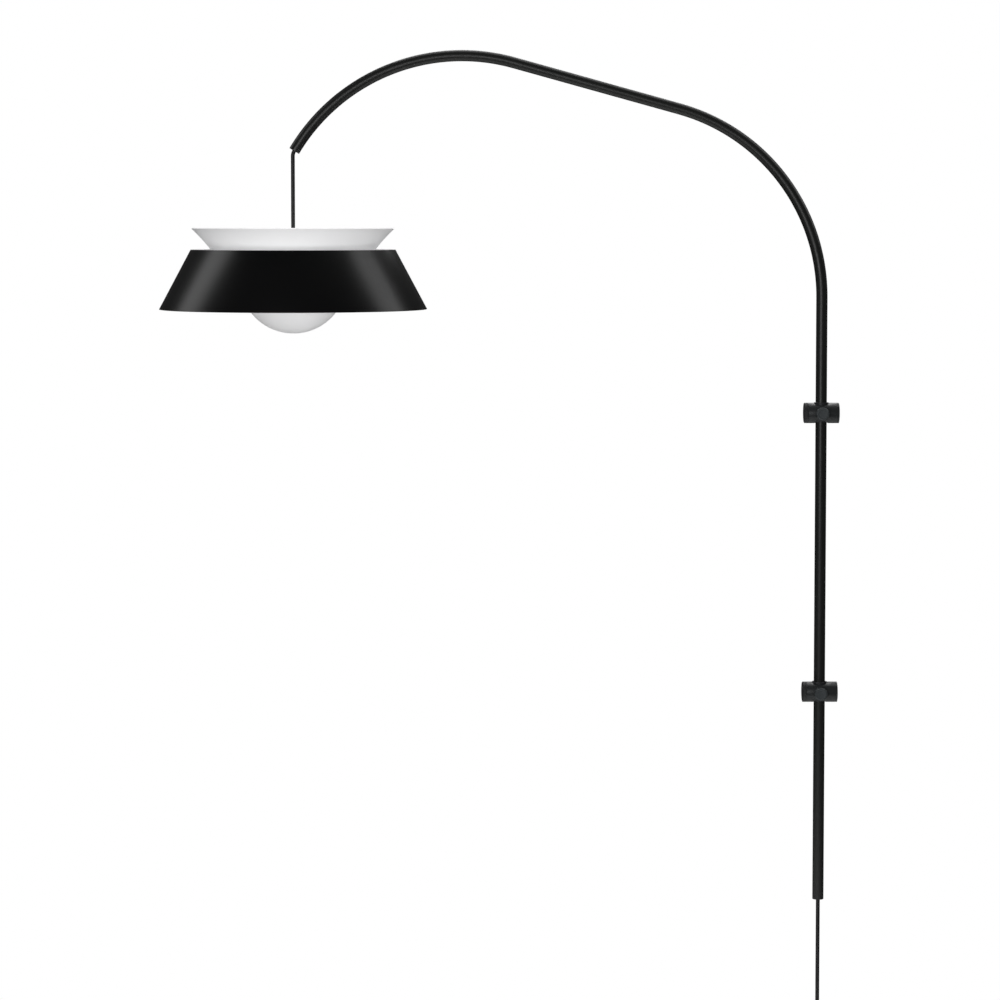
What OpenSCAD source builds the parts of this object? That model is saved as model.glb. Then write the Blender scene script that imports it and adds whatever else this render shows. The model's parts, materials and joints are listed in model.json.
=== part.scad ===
// Swing arm wall light. A bent steel tube turns and slides in two wall blocks. A white bowl and a
// black ring hang from its mouth on a cord, round a lamp holder, and the mains lead leaves its foot.
// +X points at the wall, +Z up. The origin is on the wall, midway between the two fixing screws.

/* [Wall blocks] */
// Distance between the centres of the two wall blocks
block_span = 400; // [300:10:480]
// Distance from the wall to the axis of the tube
tube_off = 25; // [24.5:0.5:40]
// Diameter of a wall block
block_d = 29; // [28:0.5:40]
// How far a wall block and its end cap reach from the wall
block_reach = 49.5; // [48:0.5:70]
// Thickness of the wall base's flange
base_t = 2.5; // [1.5:0.5:4]
// Diameter of the wall base's boss
boss_d = 22; // [16:0.5:22.5]
// Length of the wall base's boss
boss_len = 7; // [6:0.5:8]
// Diameter of the hole for a fixing screw
screw_hole_d = 4.5; // [3.5:0.1:5]
// Diameter of a fixing screw's countersunk head
screw_head_d = 9; // [7:0.5:10]
// Diameter of the grub screw that holds a block on its base
grub_d = 4; // [3:0.5:4]
// Length of the end cap at the front of a block
cap_len = 5.5; // [4:0.5:7]
// Diameter of the end cap's spigot
spigot_d = 18; // [12:1:20]
// Length of the end cap's spigot
spigot_len = 3; // [2:0.5:3.5]
// Chamfer on the turned edges of blocks, caps and knobs
edge_chamfer = 0.6; // [0.3:0.1:1]

/* [Sleeves and thumb screws] */
// Wall of the nylon sleeve between a block and the tube
sleeve_wall = 1.5; // [1:0.1:2]
// How far the sleeve's flange stands out
flange_w = 1; // [0.5:0.1:1.5]
// Thickness of the sleeve's flange
flange_t = 1; // [1:0.1:2]
// Width of the slot that lets the sleeve close on the tube
slot_w = 1.2; // [0.8:0.1:2]
// Diameter of a thumb screw's threaded stud
stud_d = 6; // [5:0.5:8]
// Diameter of a thumb screw's knob
knob_d = 18.5; // [14:0.5:24]
// Thickness of a thumb screw's knob
knob_t = 10; // [6:0.5:16]
// Gap between a knob and its block
knob_gap = 1.5; // [1:0.5:4]
// Thickness of the brass pad at the tip of a stud
pad_t = 1.8; // [1.2:0.1:2]
// Diameter of the pad's stem
pad_stem_d = 2.5; // [2:0.1:3]
// Length of the pad's stem
pad_stem_len = 2.5; // [2:0.5:4]

/* [Arm tube] */
// Outer diameter of the tube
tube_d = 16; // [14:0.1:19.2]
// Wall of the tube
tube_wall = 1.5; // [1:0.1:2]
// Length of tube below the middle of the wall fixing
foot_len = 500; // [420:10:700]
// Height of the first bend over the middle of the wall fixing
bend_z = 364; // [300:2:460]
// Radius of both bends, to the tube's axis
bend_r = 277; // [200:1:340]
// Angle at which the straight between the bends rises
rise_angle = 15.5; // [5:0.5:30]
// Length of the straight between the bends
straight_len = 243; // [150:1:320]
// Angle at which the mouth points down, from the horizontal
mouth_angle = 59; // [45:1:75]
// Length of the bushing in each end of the tube
bush_len = 12; // [8:1:20]

/* [Cord] */
// Diameter of the cord
cord_d = 5.6; // [4.5:0.02:6.72]
// Radius of the cord's bend below the tube's mouth
drop_bend_r = 14; // [10:1:20]
// Hanging length of the cord, from the end of that bend to the cord grip
drop_len = 104; // [60:1:300]
// Distance between the two points where the hanging cord bends
neck_len = 15; // [12:1:25]

/* [Bowl and ring] */
// Diameter of the bowl's rim
bowl_rim_d = 287; // [240:1:360]
// Height of the bowl
bowl_h = 147.5; // [140:0.5:200]
// Radius of the dome at the bowl's bottom
dome_r = 76; // [60:1:90]
// Width of the flare at the rim
flare_w = 45; // [38:1:60]
// Height of the flare at the rim
flare_h = 56; // [45:1:60]
// Wall of the bowl and of the ring
shade_wall = 1.5; // [1:0.1:2]
// How far the ring's top edge stands out past the bowl's rim
ring_gap = 1.5; // [0:0.5:10]
// How far the ring's bottom edge stands out past its top edge
ring_spread = 45; // [20:1:60]
// Height of the ring
ring_h = 84.5; // [70:0.5:110]
// Height of the ring's bottom edge over the bowl's bottom
ring_rise = 34.5; // [20:0.5:60]
// Thickness of the sheet of the struts and the carrier
strap_t = 2; // [1.5:0.1:3]
// Height of a strut over the bowl's bottom
strut_z = 74; // [60:1:74]
// Height of the strut's and carrier's flanges
strut_h = 16; // [14:1:17]
// Width of a strut and of a carrier tip, as an angle round the bowl
strut_angle = 9; // [7:1:14]
// Diameter of the screws and studs that hold the struts
strut_screw_d = 4; // [3:0.5:4]

/* [Lamp holder and bulb] */
// How far the rim stands over the top of the cord grip
rim_over = 1.3; // [0:0.1:20]
// Diameter of the cord grip
grip_d = 14; // [12:0.5:18]
// Height of the cord grip
grip_h = 10; // [8:0.5:14]
// Diameter of the grip's threaded nipple
nipple_d = 10; // [8.5:0.5:11]
// Length of the nipple
nipple_len = 8; // [6:0.5:9]
// Outer diameter of the lamp holder
holder_d = 40; // [38:0.5:48]
// Height of the holder's cap
holder_cap_h = 18; // [16:0.5:22]
// Wall of the holder's cap
holder_cap_wall = 1.7; // [1.2:0.1:2.2]
// Height of the holder's body below the cap
holder_body_h = 30; // [28:0.5:36]
// Wall of the holder's body
holder_wall = 3; // [2:0.1:3.6]
// Width of the holder's shoulder
shoulder_w = 3; // [2:0.5:5]
// Height of the ring nut
nut_h = 8; // [6:0.5:10]
// Width of the ring nut round the holder
nut_w = 7; // [5:0.5:10]
// Inner diameter of the screw shell
shell_d = 27; // [26.9:0.1:27.2]
// Diameter of the bulb's screw base
bulb_base_d = 26.4; // [26:0.1:26.6]
// Diameter of the bulb
bulb_d = 60; // [45:1:64]
// Length of the bulb's glass
bulb_glass_h = 73; // [60:1:74]
// Diameter of the bulb's neck
bulb_neck_d = 34; // [30:1:36]
// Thickness of the bulb's glass
glass_t = 1; // [0.8:0.1:1.5]

/* [Cord switch and plug] */
// Length of the cord switch
switch_len = 68; // [60:1:68]
// Width of the cord switch
switch_w = 24; // [20:1:30]
// Thickness of the cord switch
switch_t = 16; // [14:1:20]
// Wall of the switch's case
switch_wall = 1.6; // [1.2:0.1:2]
// Length of the rocker
rocker_len = 18; // [14:1:20]
// Width of the rocker
rocker_w = 9.5; // [8:0.5:11]
// Angle that the rocker tips each way
rocker_tip = 8; // [5:1:10]
// Width of the plug
plug_w = 35; // [30:1:36]
// Thickness of the plug
plug_t = 13.7; // [12:0.1:15]
// Length of the plug's body
plug_len = 34; // [30:1:40]
// Diameter of a plug pin
pin_d = 4; // [3.8:0.1:4.8]
// Length of a plug pin
pin_len = 19; // [16:0.5:20]
// Diameter of a pin's shank inside the plug
pin_shank_d = 3; // [2:0.5:3.5]
// Distance between the pins
pin_gap = 18.6; // [17.5:0.1:19]

/* [Fits] */
// Clearance all round a shaft that turns or slides
run_clear = 0.05; // [0.02:0.01:0.1]
// Gap between parts that move past each other
move_gap = 0.3; // [0.25:0.05:0.5]
// Gap between a clamping pad and its sleeve
pad_gap = 0.1; // [0.05:0.05:0.2]
// Clearance all round a fastener in its hole
hole_clear = 0.2; // [0.1:0.05:0.4]

/* [Hidden] */
$fn = 64;
eps = 0.01;
SIDES = [["upper", 1], ["lower", -1]];
ARMS = [60, 180, 300];

// Wall blocks
front_x = block_reach - cap_len;
boss_end = base_t + boss_len;
sink_h = (screw_head_d - screw_hole_d) / 2;
pocket_gap = 0.5;
grub_x = base_t + boss_len / 2;
grub_bite = 1;
grub_recess = 0.5;
grub_socket = 1.5;
sleeve_in = tube_d / 2 + run_clear;
sleeve_out = sleeve_in + sleeve_wall;
sleeve_bore = sleeve_out + run_clear;
seat_z = block_d / 2 - 0.5;
stud_r = stud_d / 2;
pad_face = sleeve_out + pad_gap;
stud_face = pad_face + pad_t + move_gap;
knob_face = block_d / 2 + knob_gap;

// Arm tube: angles are measured from straight up, turning away from the wall
bend1_turn = 90 - rise_angle;
bend2_turn = 90 + mouth_angle;
bend1_end = [-tube_off - bend_r * (1 - cos(bend1_turn)), bend_z + bend_r * sin(bend1_turn)];
bend2_start = bend1_end + straight_len * [-sin(bend1_turn), cos(bend1_turn)];
bend2_centre = bend2_start - bend_r * [cos(bend1_turn), sin(bend1_turn)];
mouth = bend2_centre + bend_r * [cos(bend2_turn), sin(bend2_turn)];
tube_in = tube_d / 2 - tube_wall;
mark_len = 0.4;
mark_h = 0.01;
bush_turn = bush_len / bend_r * 180 / PI;

// Hanging cord
cord_r = cord_d / 2;
drop_turn = 90 - mouth_angle;
shade_x = mouth[0] - drop_bend_r * (1 - cos(drop_turn));
mouth_straight = 1;
pivot_z = mouth[1] - drop_bend_r * sin(drop_turn) - mouth_straight;
grip_z = pivot_z - drop_len;

// Bowl: heights are over the bowl's bottom
bowl_z = grip_z + rim_over - bowl_h;
flare_foot = [bowl_rim_d / 2 - flare_w, bowl_h - flare_h];
wall_angle = 90 - atan2(flare_foot[1] - dome_r, flare_foot[0])
    - asin(dome_r / norm([flare_foot[0], flare_foot[1] - dome_r]));
flare_lean = atan2(flare_w, flare_h);
rim_angle = 2 * flare_lean - wall_angle;
flare_r = norm([flare_w, flare_h]) / (2 * sin(flare_lean - wall_angle));
dome_steps = 12;
flare_steps = 10;
function bowl_r(z) = flare_foot[0] - (flare_foot[1] - z) * tan(wall_angle);
function bowl_curve(inset) = concat(
    [for (i = [0 : dome_steps]) let (a = (90 - wall_angle) * i / dome_steps)
        [(dome_r - inset) * sin(a), dome_r - (dome_r - inset) * cos(a)]],
    [for (i = [0 : flare_steps])
        let (a = wall_angle + (rim_angle - wall_angle) * i / flare_steps, r = flare_r + inset)
        [flare_foot[0] + flare_r * cos(wall_angle) - r * cos(a),
         flare_foot[1] - flare_r * sin(wall_angle) + r * sin(a)]]);
bowl_in = shade_wall / cos(wall_angle);

// Ring
ring_slope = ring_spread / ring_h;
ring_lean = atan(ring_slope);
ring_in = shade_wall / cos(ring_lean);
function ring_r(z) = bowl_rim_d / 2 + ring_gap + ring_spread - (z - ring_rise) * ring_slope;
fix_z = strut_z + (strut_h + strap_t) / 2;
screw_r = strut_screw_d / 2;
head_h = 2.6;
head_edge = 0.5;
nut_r = 1.01 * strut_screw_d;
hex_t = 0.8 * strut_screw_d;
thread_out = 1.5;
hole_reach = 15;
// A flat nut on the hollow side of a round wall rests on its corners, this far off the wall
function nut_lift(wall_r) = wall_r - sqrt(wall_r * wall_r - nut_r * nut_r);
bowl_nut_z = shade_wall + strap_t + nut_lift(bowl_r(fix_z) - bowl_in - strap_t);
ring_nut_z = shade_wall + strap_t + nut_lift(ring_r(fix_z) - ring_in - strap_t);

// Lamp holder: heights are over the bowl's bottom
grip_top = bowl_h - rim_over;
cap_top = grip_top - grip_h;
cap_foot = cap_top - holder_cap_h;
cap_slope = [5, 6];
locknut_w = 2.5;
locknut_h = 3;
shoulder_drop = 12;
shoulder_z = cap_foot - shoulder_drop;
shoulder_t = 2;
thread_lap = 8;
body_foot = cap_foot - holder_body_h;
core_t = 6;
core_drop = 2;
core_foot = cap_foot - core_drop;
shell_t = 0.7;
shell_gap = 1;
tongue = [14, 5, 1];
contact_drop = 2.5;
tip_top = core_foot - contact_drop;
carrier_z = shoulder_z - shoulder_t - strap_t;
hub_w = 8;
hub_r = holder_d / 2 + hub_w;
arm_w = 12;
arm_lap = 4;
bulb_gap = 2;
bulb_top = body_foot - bulb_gap;
bulb_r = bulb_d / 2;
bulb_z = bulb_top - bulb_glass_h + bulb_r;
neck_turn = 30;
bulb_steps = 12;
base_drop = 6;
base_top = core_foot - base_drop;
base_cone_r = 6;
base_cone_h = 2.5;
tip_r = 4.5;

// The free cord, the switch on it, the coil and the plug
cord_sides = 10;
switch_z = -655;
LEAD = [for (z = [-500, -515, -530, -545, -560, -575, -590, -605, -620, -635, switch_z]) [0, 0, z]];
COIL_IN = [[0, 0, -723], [0, 0, -729], [-2, 0, -738], [-6, -2, -748], [-10, -6, -758], [-12, -11, -767],
    [-12, -17, -777], [-12, -22, -786], [-11, -25, -796]];
TAIL = [[6, -37, -796], [5, -37, -806], [4, -36, -815], [2, -33, -825], [1, -30, -834], [0, -28, -843],
    [0, -28, -850]];
switch_corner = 7;
case_screw_r = 1.2;
case_screw_at = [switch_w / 2 - 5, switch_len / 2 - 9];
pillar_r = 3;
cheek_t = 2;
cheek_h = 8;
terminal = [8, 3, 10];
terminal_z = 12;
pivot_y = 4.5;
pivot_r = 1;
pivot_lap = 1.2;
rocker_r = 9.3;
rocker_back = 1.5;
rocker_dip = 3.8;
rocker_end = 5.1;
coil_z = -796;
coil_r = 31;
coil_side = 3 * cord_d + 0.6;
tie_t = 1.2;
tie_w = 12;
tie_gap = 0.8;
tie_angle = 21;
tie_rear = coil_side / 2 + tie_gap;
tie_front = tie_rear + cord_d;
plug_at = [-28, -850];
relief_len = 16;
relief_w = [2.2, 0.8];
plug_top_w = 14;
plug_shoulder = [4, 8];
plug_waist = 20;
plug_foot = [2.5, 4];
pin_root = 10;

// Helpers
module at_block(side) translate([0, 0, side * block_span / 2]) children();
module from_wall() rotate([0, -90, 0]) children();
module from_tube() translate([-tube_off, 0, 0]) rotate([90, 0, 0]) children();
module hung() translate([shade_x, 0, bowl_z]) children();
module each_arm() for (a = ARMS) rotate([0, 0, a]) children();
module on_bowl_wall() translate([bowl_r(fix_z), 0, fix_z]) rotate([0, 90 + wall_angle, 0]) children();
module on_ring_wall() translate([ring_r(fix_z), 0, fix_z]) rotate([0, -90 - ring_lean, 0]) children();
module washer(r_out, r_in, h) difference() {
    cylinder(r = r_out, h = h);
    translate([0, 0, -1]) cylinder(r = r_in, h = h + 2);
}
// A rod with both ends chamfered
module turned(r, h, c = edge_chamfer) rotate_extrude()
    polygon([[0, 0], [r - c, 0], [r, c], [r, h - c], [r - c, h], [0, h]]);
module sector(angle) rotate([0, 0, -angle / 2]) rotate_extrude(angle = angle) children();
module rounded(w, h, r) {
    square([w - 2 * r, h], center = true);
    square([w, h - 2 * r], center = true);
    for (x = [-1, 1], y = [-1, 1]) translate([x * (w / 2 - r), y * (h / 2 - r)]) circle(r);
}
// The frames of the tube's two bends, round their centres, and of the straight between them
module at_bend1() translate([-tube_off - bend_r, 0, bend_z]) rotate([90, 0, 0]) children();
module at_straight() at_bend1() rotate([0, 0, bend1_turn]) translate([bend_r, 0, 0]) rotate([-90, 0, 0])
    children();
module at_bend2() at_straight() translate([-bend_r, 0, straight_len]) rotate([90, 0, 0]) children();
// A rod or a pipe along the axis of the bent tube, from its foot to its mouth. Each end of the straight
// has a bend mark, a hair prouder than the rest.
module along_arm(r_out, r_in) {
    translate([-tube_off, 0, -foot_len]) pipe(r_out, r_in, foot_len + bend_z);
    at_bend1() arm_bend(r_out, r_in, bend1_turn);
    at_straight() {
        pipe(r_out, r_in, straight_len);
        for (z = [0, straight_len]) translate([0, 0, z - mark_len / 2])
            pipe(r_out + mark_h, r_in - sign(r_in) * mark_h, mark_len);
    }
    at_bend2() arm_bend(r_out, r_in, bend2_turn - bend1_turn);
}
module pipe(r_out, r_in, h) linear_extrude(height = h) difference() {
    circle(r_out);
    if (r_in > 0) circle(r_in);
}
module arm_bend(r_out, r_in, turn) rotate_extrude(angle = turn) translate([bend_r, 0]) difference() {
    circle(r_out);
    if (r_in > 0) circle(r_in);
}
// A cord through the points given, which lie within the plane of the coil or near it
function along(p, i) = let (d = p[min(i + 1, len(p) - 1)] - p[max(i - 1, 0)]) d / norm(d);
module cord_through(p) {
    n = len(p);
    rings = [for (i = [0 : n - 1]) let (t = along(p, i), s = cross(t, [1, 0, 0]), u = s / norm(s),
        v = cross(u, t)) for (k = [0 : cord_sides - 1]) let (a = 360 * k / cord_sides)
        p[i] + cord_r * (cos(a) * u + sin(a) * v)];
    walls = [for (i = [0 : n - 2], k = [0 : cord_sides - 1]) let (m = (k + 1) % cord_sides,
        a = i * cord_sides, b = a + cord_sides) each [[a + k, b + k, b + m], [a + k, b + m, a + m]]];
    start = [for (k = [0 : cord_sides - 1]) k];
    end = [for (k = [cord_sides - 1 : -1 : 0]) (n - 1) * cord_sides + k];
    translate([-tube_off, 0, 0]) polyhedron(rings, concat(walls, [start, end]), convexity = 4);
}

// Wall base: a flange on the wall, and a boss that a block slides over
module wall_base(side) color("dimgray") at_block(side) difference() {
    from_wall() union() {
        turned(block_d / 2, base_t, edge_chamfer / 2);
        cylinder(r = boss_d / 2, h = boss_end);
    }
    from_wall() translate([0, 0, -1]) cylinder(r = screw_hole_d / 2, h = boss_end + 2);
    from_wall() translate([0, 0, boss_end - sink_h])
        cylinder(r1 = screw_hole_d / 2, r2 = screw_head_d / 2 + eps, h = sink_h + eps);
    from_wall() translate([0, 0, grub_x - grub_d / 2 - hole_clear]) difference() {
        cylinder(r = boss_d / 2 + 1, h = grub_d + 2 * hole_clear);
        translate([0, 0, -1]) cylinder(r = boss_d / 2 - grub_bite, h = grub_d + 4);
    }
}
// Wall block: a rod across the tube, bored for the base, the sleeve, the thumb screw and the end cap
module wall_block(side) color("dimgray") at_block(side) difference() {
    from_wall() translate([0, 0, base_t]) turned(block_d / 2, front_x - base_t, edge_chamfer / 2);
    from_wall() translate([0, 0, base_t - 1])
        cylinder(r = boss_d / 2 + run_clear, h = boss_len + pocket_gap + 1);
    from_wall() cylinder(r = screw_head_d / 2 + pocket_gap, h = tube_off - sleeve_bore + 1);
    from_wall() translate([0, 0, front_x - spigot_len - pocket_gap])
        cylinder(r = spigot_d / 2, h = spigot_len + pocket_gap + 1);
    translate([-tube_off, 0, -block_d]) cylinder(r = sleeve_bore, h = 2 * block_d);
    translate([-tube_off, 0, seat_z]) cylinder(r = sleeve_out + flange_w + move_gap, h = block_d);
    from_tube() cylinder(r = stud_r + run_clear, h = block_d);
    translate([-grub_x, 0, -block_d]) cylinder(r = grub_d / 2, h = block_d - boss_d / 2 + 1);
}
module end_cap(side) color("#262829") at_block(side) from_wall() union() {
    translate([0, 0, front_x]) turned(block_d / 2, cap_len);
    translate([0, 0, front_x - spigot_len]) cylinder(r = spigot_d / 2, h = spigot_len + cap_len / 2);
}
// One grub screw up through the underside of each block into the groove of its base
module grub_screws() color("black") for (s = SIDES) at_block(s[1])
    translate([-grub_x, 0, -block_d / 2 + grub_recess]) difference() {
        cylinder(r = grub_d / 2, h = block_d / 2 - grub_recess - boss_d / 2 + grub_bite);
        translate([0, 0, -1]) cylinder(r = grub_d / 4, h = grub_socket + 1, $fn = 6);
    }
// Split nylon sleeve: it turns in the block, the tube slides in it, and the pad squeezes it
module sleeve(side) color("gainsboro") at_block(side) translate([-tube_off, 0, 0]) difference() {
    union() {
        translate([0, 0, -seat_z + 1]) cylinder(r = sleeve_out, h = 2 * seat_z - 1);
        translate([0, 0, seat_z]) cylinder(r = sleeve_out + flange_w, h = flange_t);
    }
    translate([0, 0, -block_d]) cylinder(r = sleeve_in, h = 2 * block_d);
    translate([0, -slot_w / 2, -block_d]) cube([sleeve_out + flange_w + 1, slot_w, 2 * block_d]);
}
module pad(side) color("goldenrod") at_block(side) from_tube() {
    translate([0, 0, pad_face]) cylinder(r = stud_r, h = pad_t);
    translate([0, 0, pad_face + pad_t / 2]) cylinder(r = pad_stem_d / 2, h = pad_t / 2 + pad_stem_len);
}
// Threaded stud of a thumb screw, with a socket for the pad's stem
module stud(side) color("silver") at_block(side) from_tube() difference() {
    translate([0, 0, stud_face]) cylinder(r = stud_r, h = knob_face + knob_t / 2 - stud_face);
    translate([0, 0, stud_face - 1]) cylinder(r = pad_stem_d / 2 + run_clear, h = pad_stem_len + 1.5);
}
module knob(side) color("#3a3e3f") at_block(side) from_tube() difference() {
    translate([0, 0, knob_face]) turned(knob_d / 2, knob_t, 2 * edge_chamfer);
    translate([0, 0, knob_face - 1]) cylinder(r = stud_r, h = knob_t / 2 + 1);
}

// Bent tube and what is in it
module arm_tube() color("#2b2d2c") along_arm(tube_d / 2, tube_in);
module foot_bushing() color("black") translate([-tube_off, 0, -foot_len])
    washer(tube_in, cord_r, bush_len);
module mouth_bushing() color("black") at_bend2() rotate([0, 0, bend2_turn - bend1_turn - bush_turn])
    arm_bend(tube_in, cord_r, bush_turn);
module tube_cord() color("#151515") along_arm(cord_r, 0);

// The hanging cord in three lengths, parted where it bends as the shade swings
module mouth_cord() color("#151515") translate([shade_x, 0, pivot_z]) {
    translate([drop_bend_r, 0, mouth_straight]) rotate([90, 0, 0])
        rotate_extrude(start = 180, angle = -drop_turn) translate([drop_bend_r, 0]) circle(cord_r);
    cylinder(r = cord_r, h = mouth_straight);
    sphere(r = cord_r);
}
module neck_cord() color("#151515") translate([shade_x, 0, pivot_z - neck_len]) {
    cylinder(r = cord_r, h = neck_len - cord_r - move_gap);
    sphere(r = cord_r);
}
module drop_cord() color("#151515") translate([shade_x, 0, bowl_z + core_foot + core_t])
    cylinder(r = cord_r, h = pivot_z - neck_len - cord_r - move_gap - bowl_z - core_foot - core_t);

// Lamp holder
module cord_grip() color("#1c1c1c") hung() difference() {
    union() {
        translate([0, 0, cap_top]) turned(grip_d / 2, grip_h, 1);
        translate([0, 0, cap_top - nipple_len]) cylinder(r = nipple_d / 2, h = nipple_len + 1);
    }
    translate([0, 0, cap_top - nipple_len - 1]) cylinder(r = cord_r, h = nipple_len + grip_h + 2);
}
module grip_locknut() color("silver") hung()
    translate([0, 0, cap_top - holder_cap_wall - locknut_h]) difference() {
        cylinder(r = nipple_d / 2 + locknut_w, h = locknut_h, $fn = 6);
        translate([0, 0, -1]) cylinder(r = nipple_d / 2, h = locknut_h + 2);
    }
module holder_cap() color("#1c1c1c") hung() rotate_extrude() polygon([
    [nipple_d / 2, cap_top], [holder_d / 2 - cap_slope[0], cap_top],
    [holder_d / 2, cap_top - cap_slope[1]], [holder_d / 2, cap_foot],
    [holder_d / 2 - holder_cap_wall, cap_foot],
    [holder_d / 2 - holder_cap_wall, cap_top - cap_slope[1] - holder_cap_wall / 2],
    [holder_d / 2 - cap_slope[0] - holder_cap_wall / 2, cap_top - holder_cap_wall],
    [nipple_d / 2, cap_top - holder_cap_wall]]);
module holder_body() color("#1c1c1c") hung() rotate_extrude() polygon([
    [holder_d / 2 - holder_wall, body_foot], [holder_d / 2, body_foot],
    [holder_d / 2, shoulder_z - shoulder_t], [holder_d / 2 + shoulder_w, shoulder_z - shoulder_t],
    [holder_d / 2 + shoulder_w, shoulder_z], [holder_d / 2, shoulder_z], [holder_d / 2, cap_foot],
    [holder_d / 2 - holder_cap_wall, cap_foot], [holder_d / 2 - holder_cap_wall, cap_foot + thread_lap],
    [holder_d / 2 - holder_wall, cap_foot + thread_lap]]);
module holder_core() color("ivory") hung() translate([0, 0, core_foot])
    cylinder(r = holder_d / 2 - holder_wall, h = core_t);
module screw_shell() color("goldenrod") hung() translate([0, 0, body_foot + shell_gap])
    washer(shell_d / 2 + shell_t, shell_d / 2, core_foot - body_foot - shell_gap);
// Springy brass tongue under the core
module centre_contact() color("goldenrod") hung() union() {
    translate([-tongue[0] / 2, -tongue[1] / 2, core_foot - tongue[2]]) cube(tongue);
    translate([0, 0, tip_top]) cylinder(r = tongue[1] / 2, h = core_foot - tip_top);
}
module ring_nut() color("#1c1c1c") hung() translate([0, 0, carrier_z - nut_h])
    washer(holder_d / 2 + nut_w, holder_d / 2, nut_h);

// Carrier: a hub clamped on the holder and three arms out to the bowl's wall
module carrier() color("whitesmoke") hung() difference() {
    union() {
        translate([0, 0, carrier_z]) washer(hub_r, holder_d / 2 + hole_clear, strap_t);
        each_arm() {
            rotate([90, 0, 0]) linear_extrude(height = arm_w, center = true) carrier_arm();
            sector(strut_angle) carrier_tip();
        }
    }
    each_arm() on_bowl_wall() wall_hole();
}
module carrier_arm() {
    end_r = bowl_r(strut_z + strap_t) - bowl_in - strap_t / 2;
    polygon([[hub_r - arm_lap, carrier_z], [hub_r, carrier_z], [end_r, strut_z + strap_t],
        [end_r, strut_z + 2 * strap_t], [hub_r, carrier_z + strap_t],
        [hub_r - arm_lap, carrier_z + strap_t]]);
}
module carrier_tip() {
    t = strap_t / cos(wall_angle);
    foot_r = bowl_r(strut_z + strap_t) - bowl_in;
    head_r = bowl_r(strut_z + strut_h) - bowl_in;
    polygon([[foot_r, strut_z + strap_t], [head_r, strut_z + strut_h], [head_r - t, strut_z + strut_h],
        [foot_r - t, strut_z + strap_t]]);
}
module wall_hole() translate([0, 0, -hole_reach]) cylinder(r = screw_r + hole_clear, h = 2 * hole_reach);
module bowl() color("white") hung() difference() {
    rotate_extrude() polygon(concat(bowl_curve(0), [for (i = [len(bowl_curve(0)) - 1 : -1 : 0])
        bowl_curve(shade_wall)[i]]));
    each_arm() on_bowl_wall() wall_hole();
}
module shade_ring() color("#202020") hung() rotate_extrude() polygon([
    [ring_r(ring_rise), ring_rise], [ring_r(ring_rise + ring_h), ring_rise + ring_h],
    [ring_r(ring_rise + ring_h) - ring_in, ring_rise + ring_h], [ring_r(ring_rise) - ring_in, ring_rise]]);
// Three struts with a flange on the bowl and a flange on the ring
module struts() color("whitesmoke") hung() difference() {
    each_arm() sector(strut_angle) strut_outline();
    each_arm() on_bowl_wall() wall_hole();
    each_arm() on_ring_wall() wall_hole();
}
module strut_outline() {
    top = strut_z + strut_h;
    web = strut_z + strap_t;
    t_in = strap_t / cos(wall_angle);
    t_out = strap_t / cos(ring_lean);
    polygon([[bowl_r(strut_z), strut_z], [bowl_r(top), top], [bowl_r(top) + t_in, top],
        [bowl_r(web) + t_in, web], [ring_r(web) - ring_in - t_out, web],
        [ring_r(top) - ring_in - t_out, top], [ring_r(top) - ring_in, top],
        [ring_r(strut_z) - ring_in, strut_z]]);
}
module strut_screws() color("silver") hung() each_arm() on_bowl_wall() union() {
    translate([0, 0, strap_t]) turned(strut_screw_d, head_h, head_edge);
    translate([0, 0, -bowl_nut_z - hex_t - thread_out])
        cylinder(r = screw_r, h = bowl_nut_z + hex_t + thread_out + strap_t + head_edge);
}
module hex_nut() difference() {
    cylinder(r = nut_r, h = hex_t, $fn = 6);
    translate([0, 0, -1]) cylinder(r = screw_r, h = hex_t + 2);
}
module strut_nuts() color("silver") hung() each_arm() on_bowl_wall()
    translate([0, 0, -bowl_nut_z - hex_t]) hex_nut();
// Studs welded to the inside of the ring
module ring_studs() color("silver") hung() each_arm() on_ring_wall()
    translate([0, 0, shade_wall]) cylinder(r = screw_r, h = ring_nut_z - shade_wall + hex_t + thread_out);
module ring_nuts() color("silver") hung() each_arm() on_ring_wall() translate([0, 0, ring_nut_z]) hex_nut();

// Bulb
function bulb_curve(inset) = let (r = bulb_r - inset, neck = bulb_neck_d / 2 - inset) concat(
    [for (i = [0 : bulb_steps]) let (a = -90 + (90 + neck_turn) * i / bulb_steps)
        [r * cos(a), bulb_z + r * sin(a)]],
    [[neck, bulb_z + r * sin(neck_turn) + (r * cos(neck_turn) - neck) / tan(neck_turn)], [neck, bulb_top]]);
module bulb_globe() color("ghostwhite", 0.8) hung() rotate_extrude() polygon(concat(bulb_curve(0),
    [for (i = [len(bulb_curve(0)) - 1 : -1 : 0]) bulb_curve(glass_t)[i]]));
module bulb_base() color("silver") hung() union() {
    translate([0, 0, bulb_top - 1]) cylinder(r = bulb_neck_d / 2 - glass_t, h = 1);
    translate([0, 0, bulb_top - eps]) cylinder(r = bulb_base_d / 2, h = base_top - bulb_top + eps);
    translate([0, 0, base_top]) cylinder(r1 = bulb_base_d / 2, r2 = base_cone_r, h = base_cone_h);
}
module bulb_contact() color("goldenrod") hung() translate([0, 0, base_top + base_cone_h])
    cylinder(r = tip_r, h = tip_top - base_top - base_cone_h);

// Mains lead from the foot of the tube, a rocker switch on it, its coil and its plug
module lead_cord() color("#151515") cord_through(LEAD);
module coil_cord() color("#151515") cord_through(COIL_IN);
module tail_cord() color("#151515") cord_through(TAIL);
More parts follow.
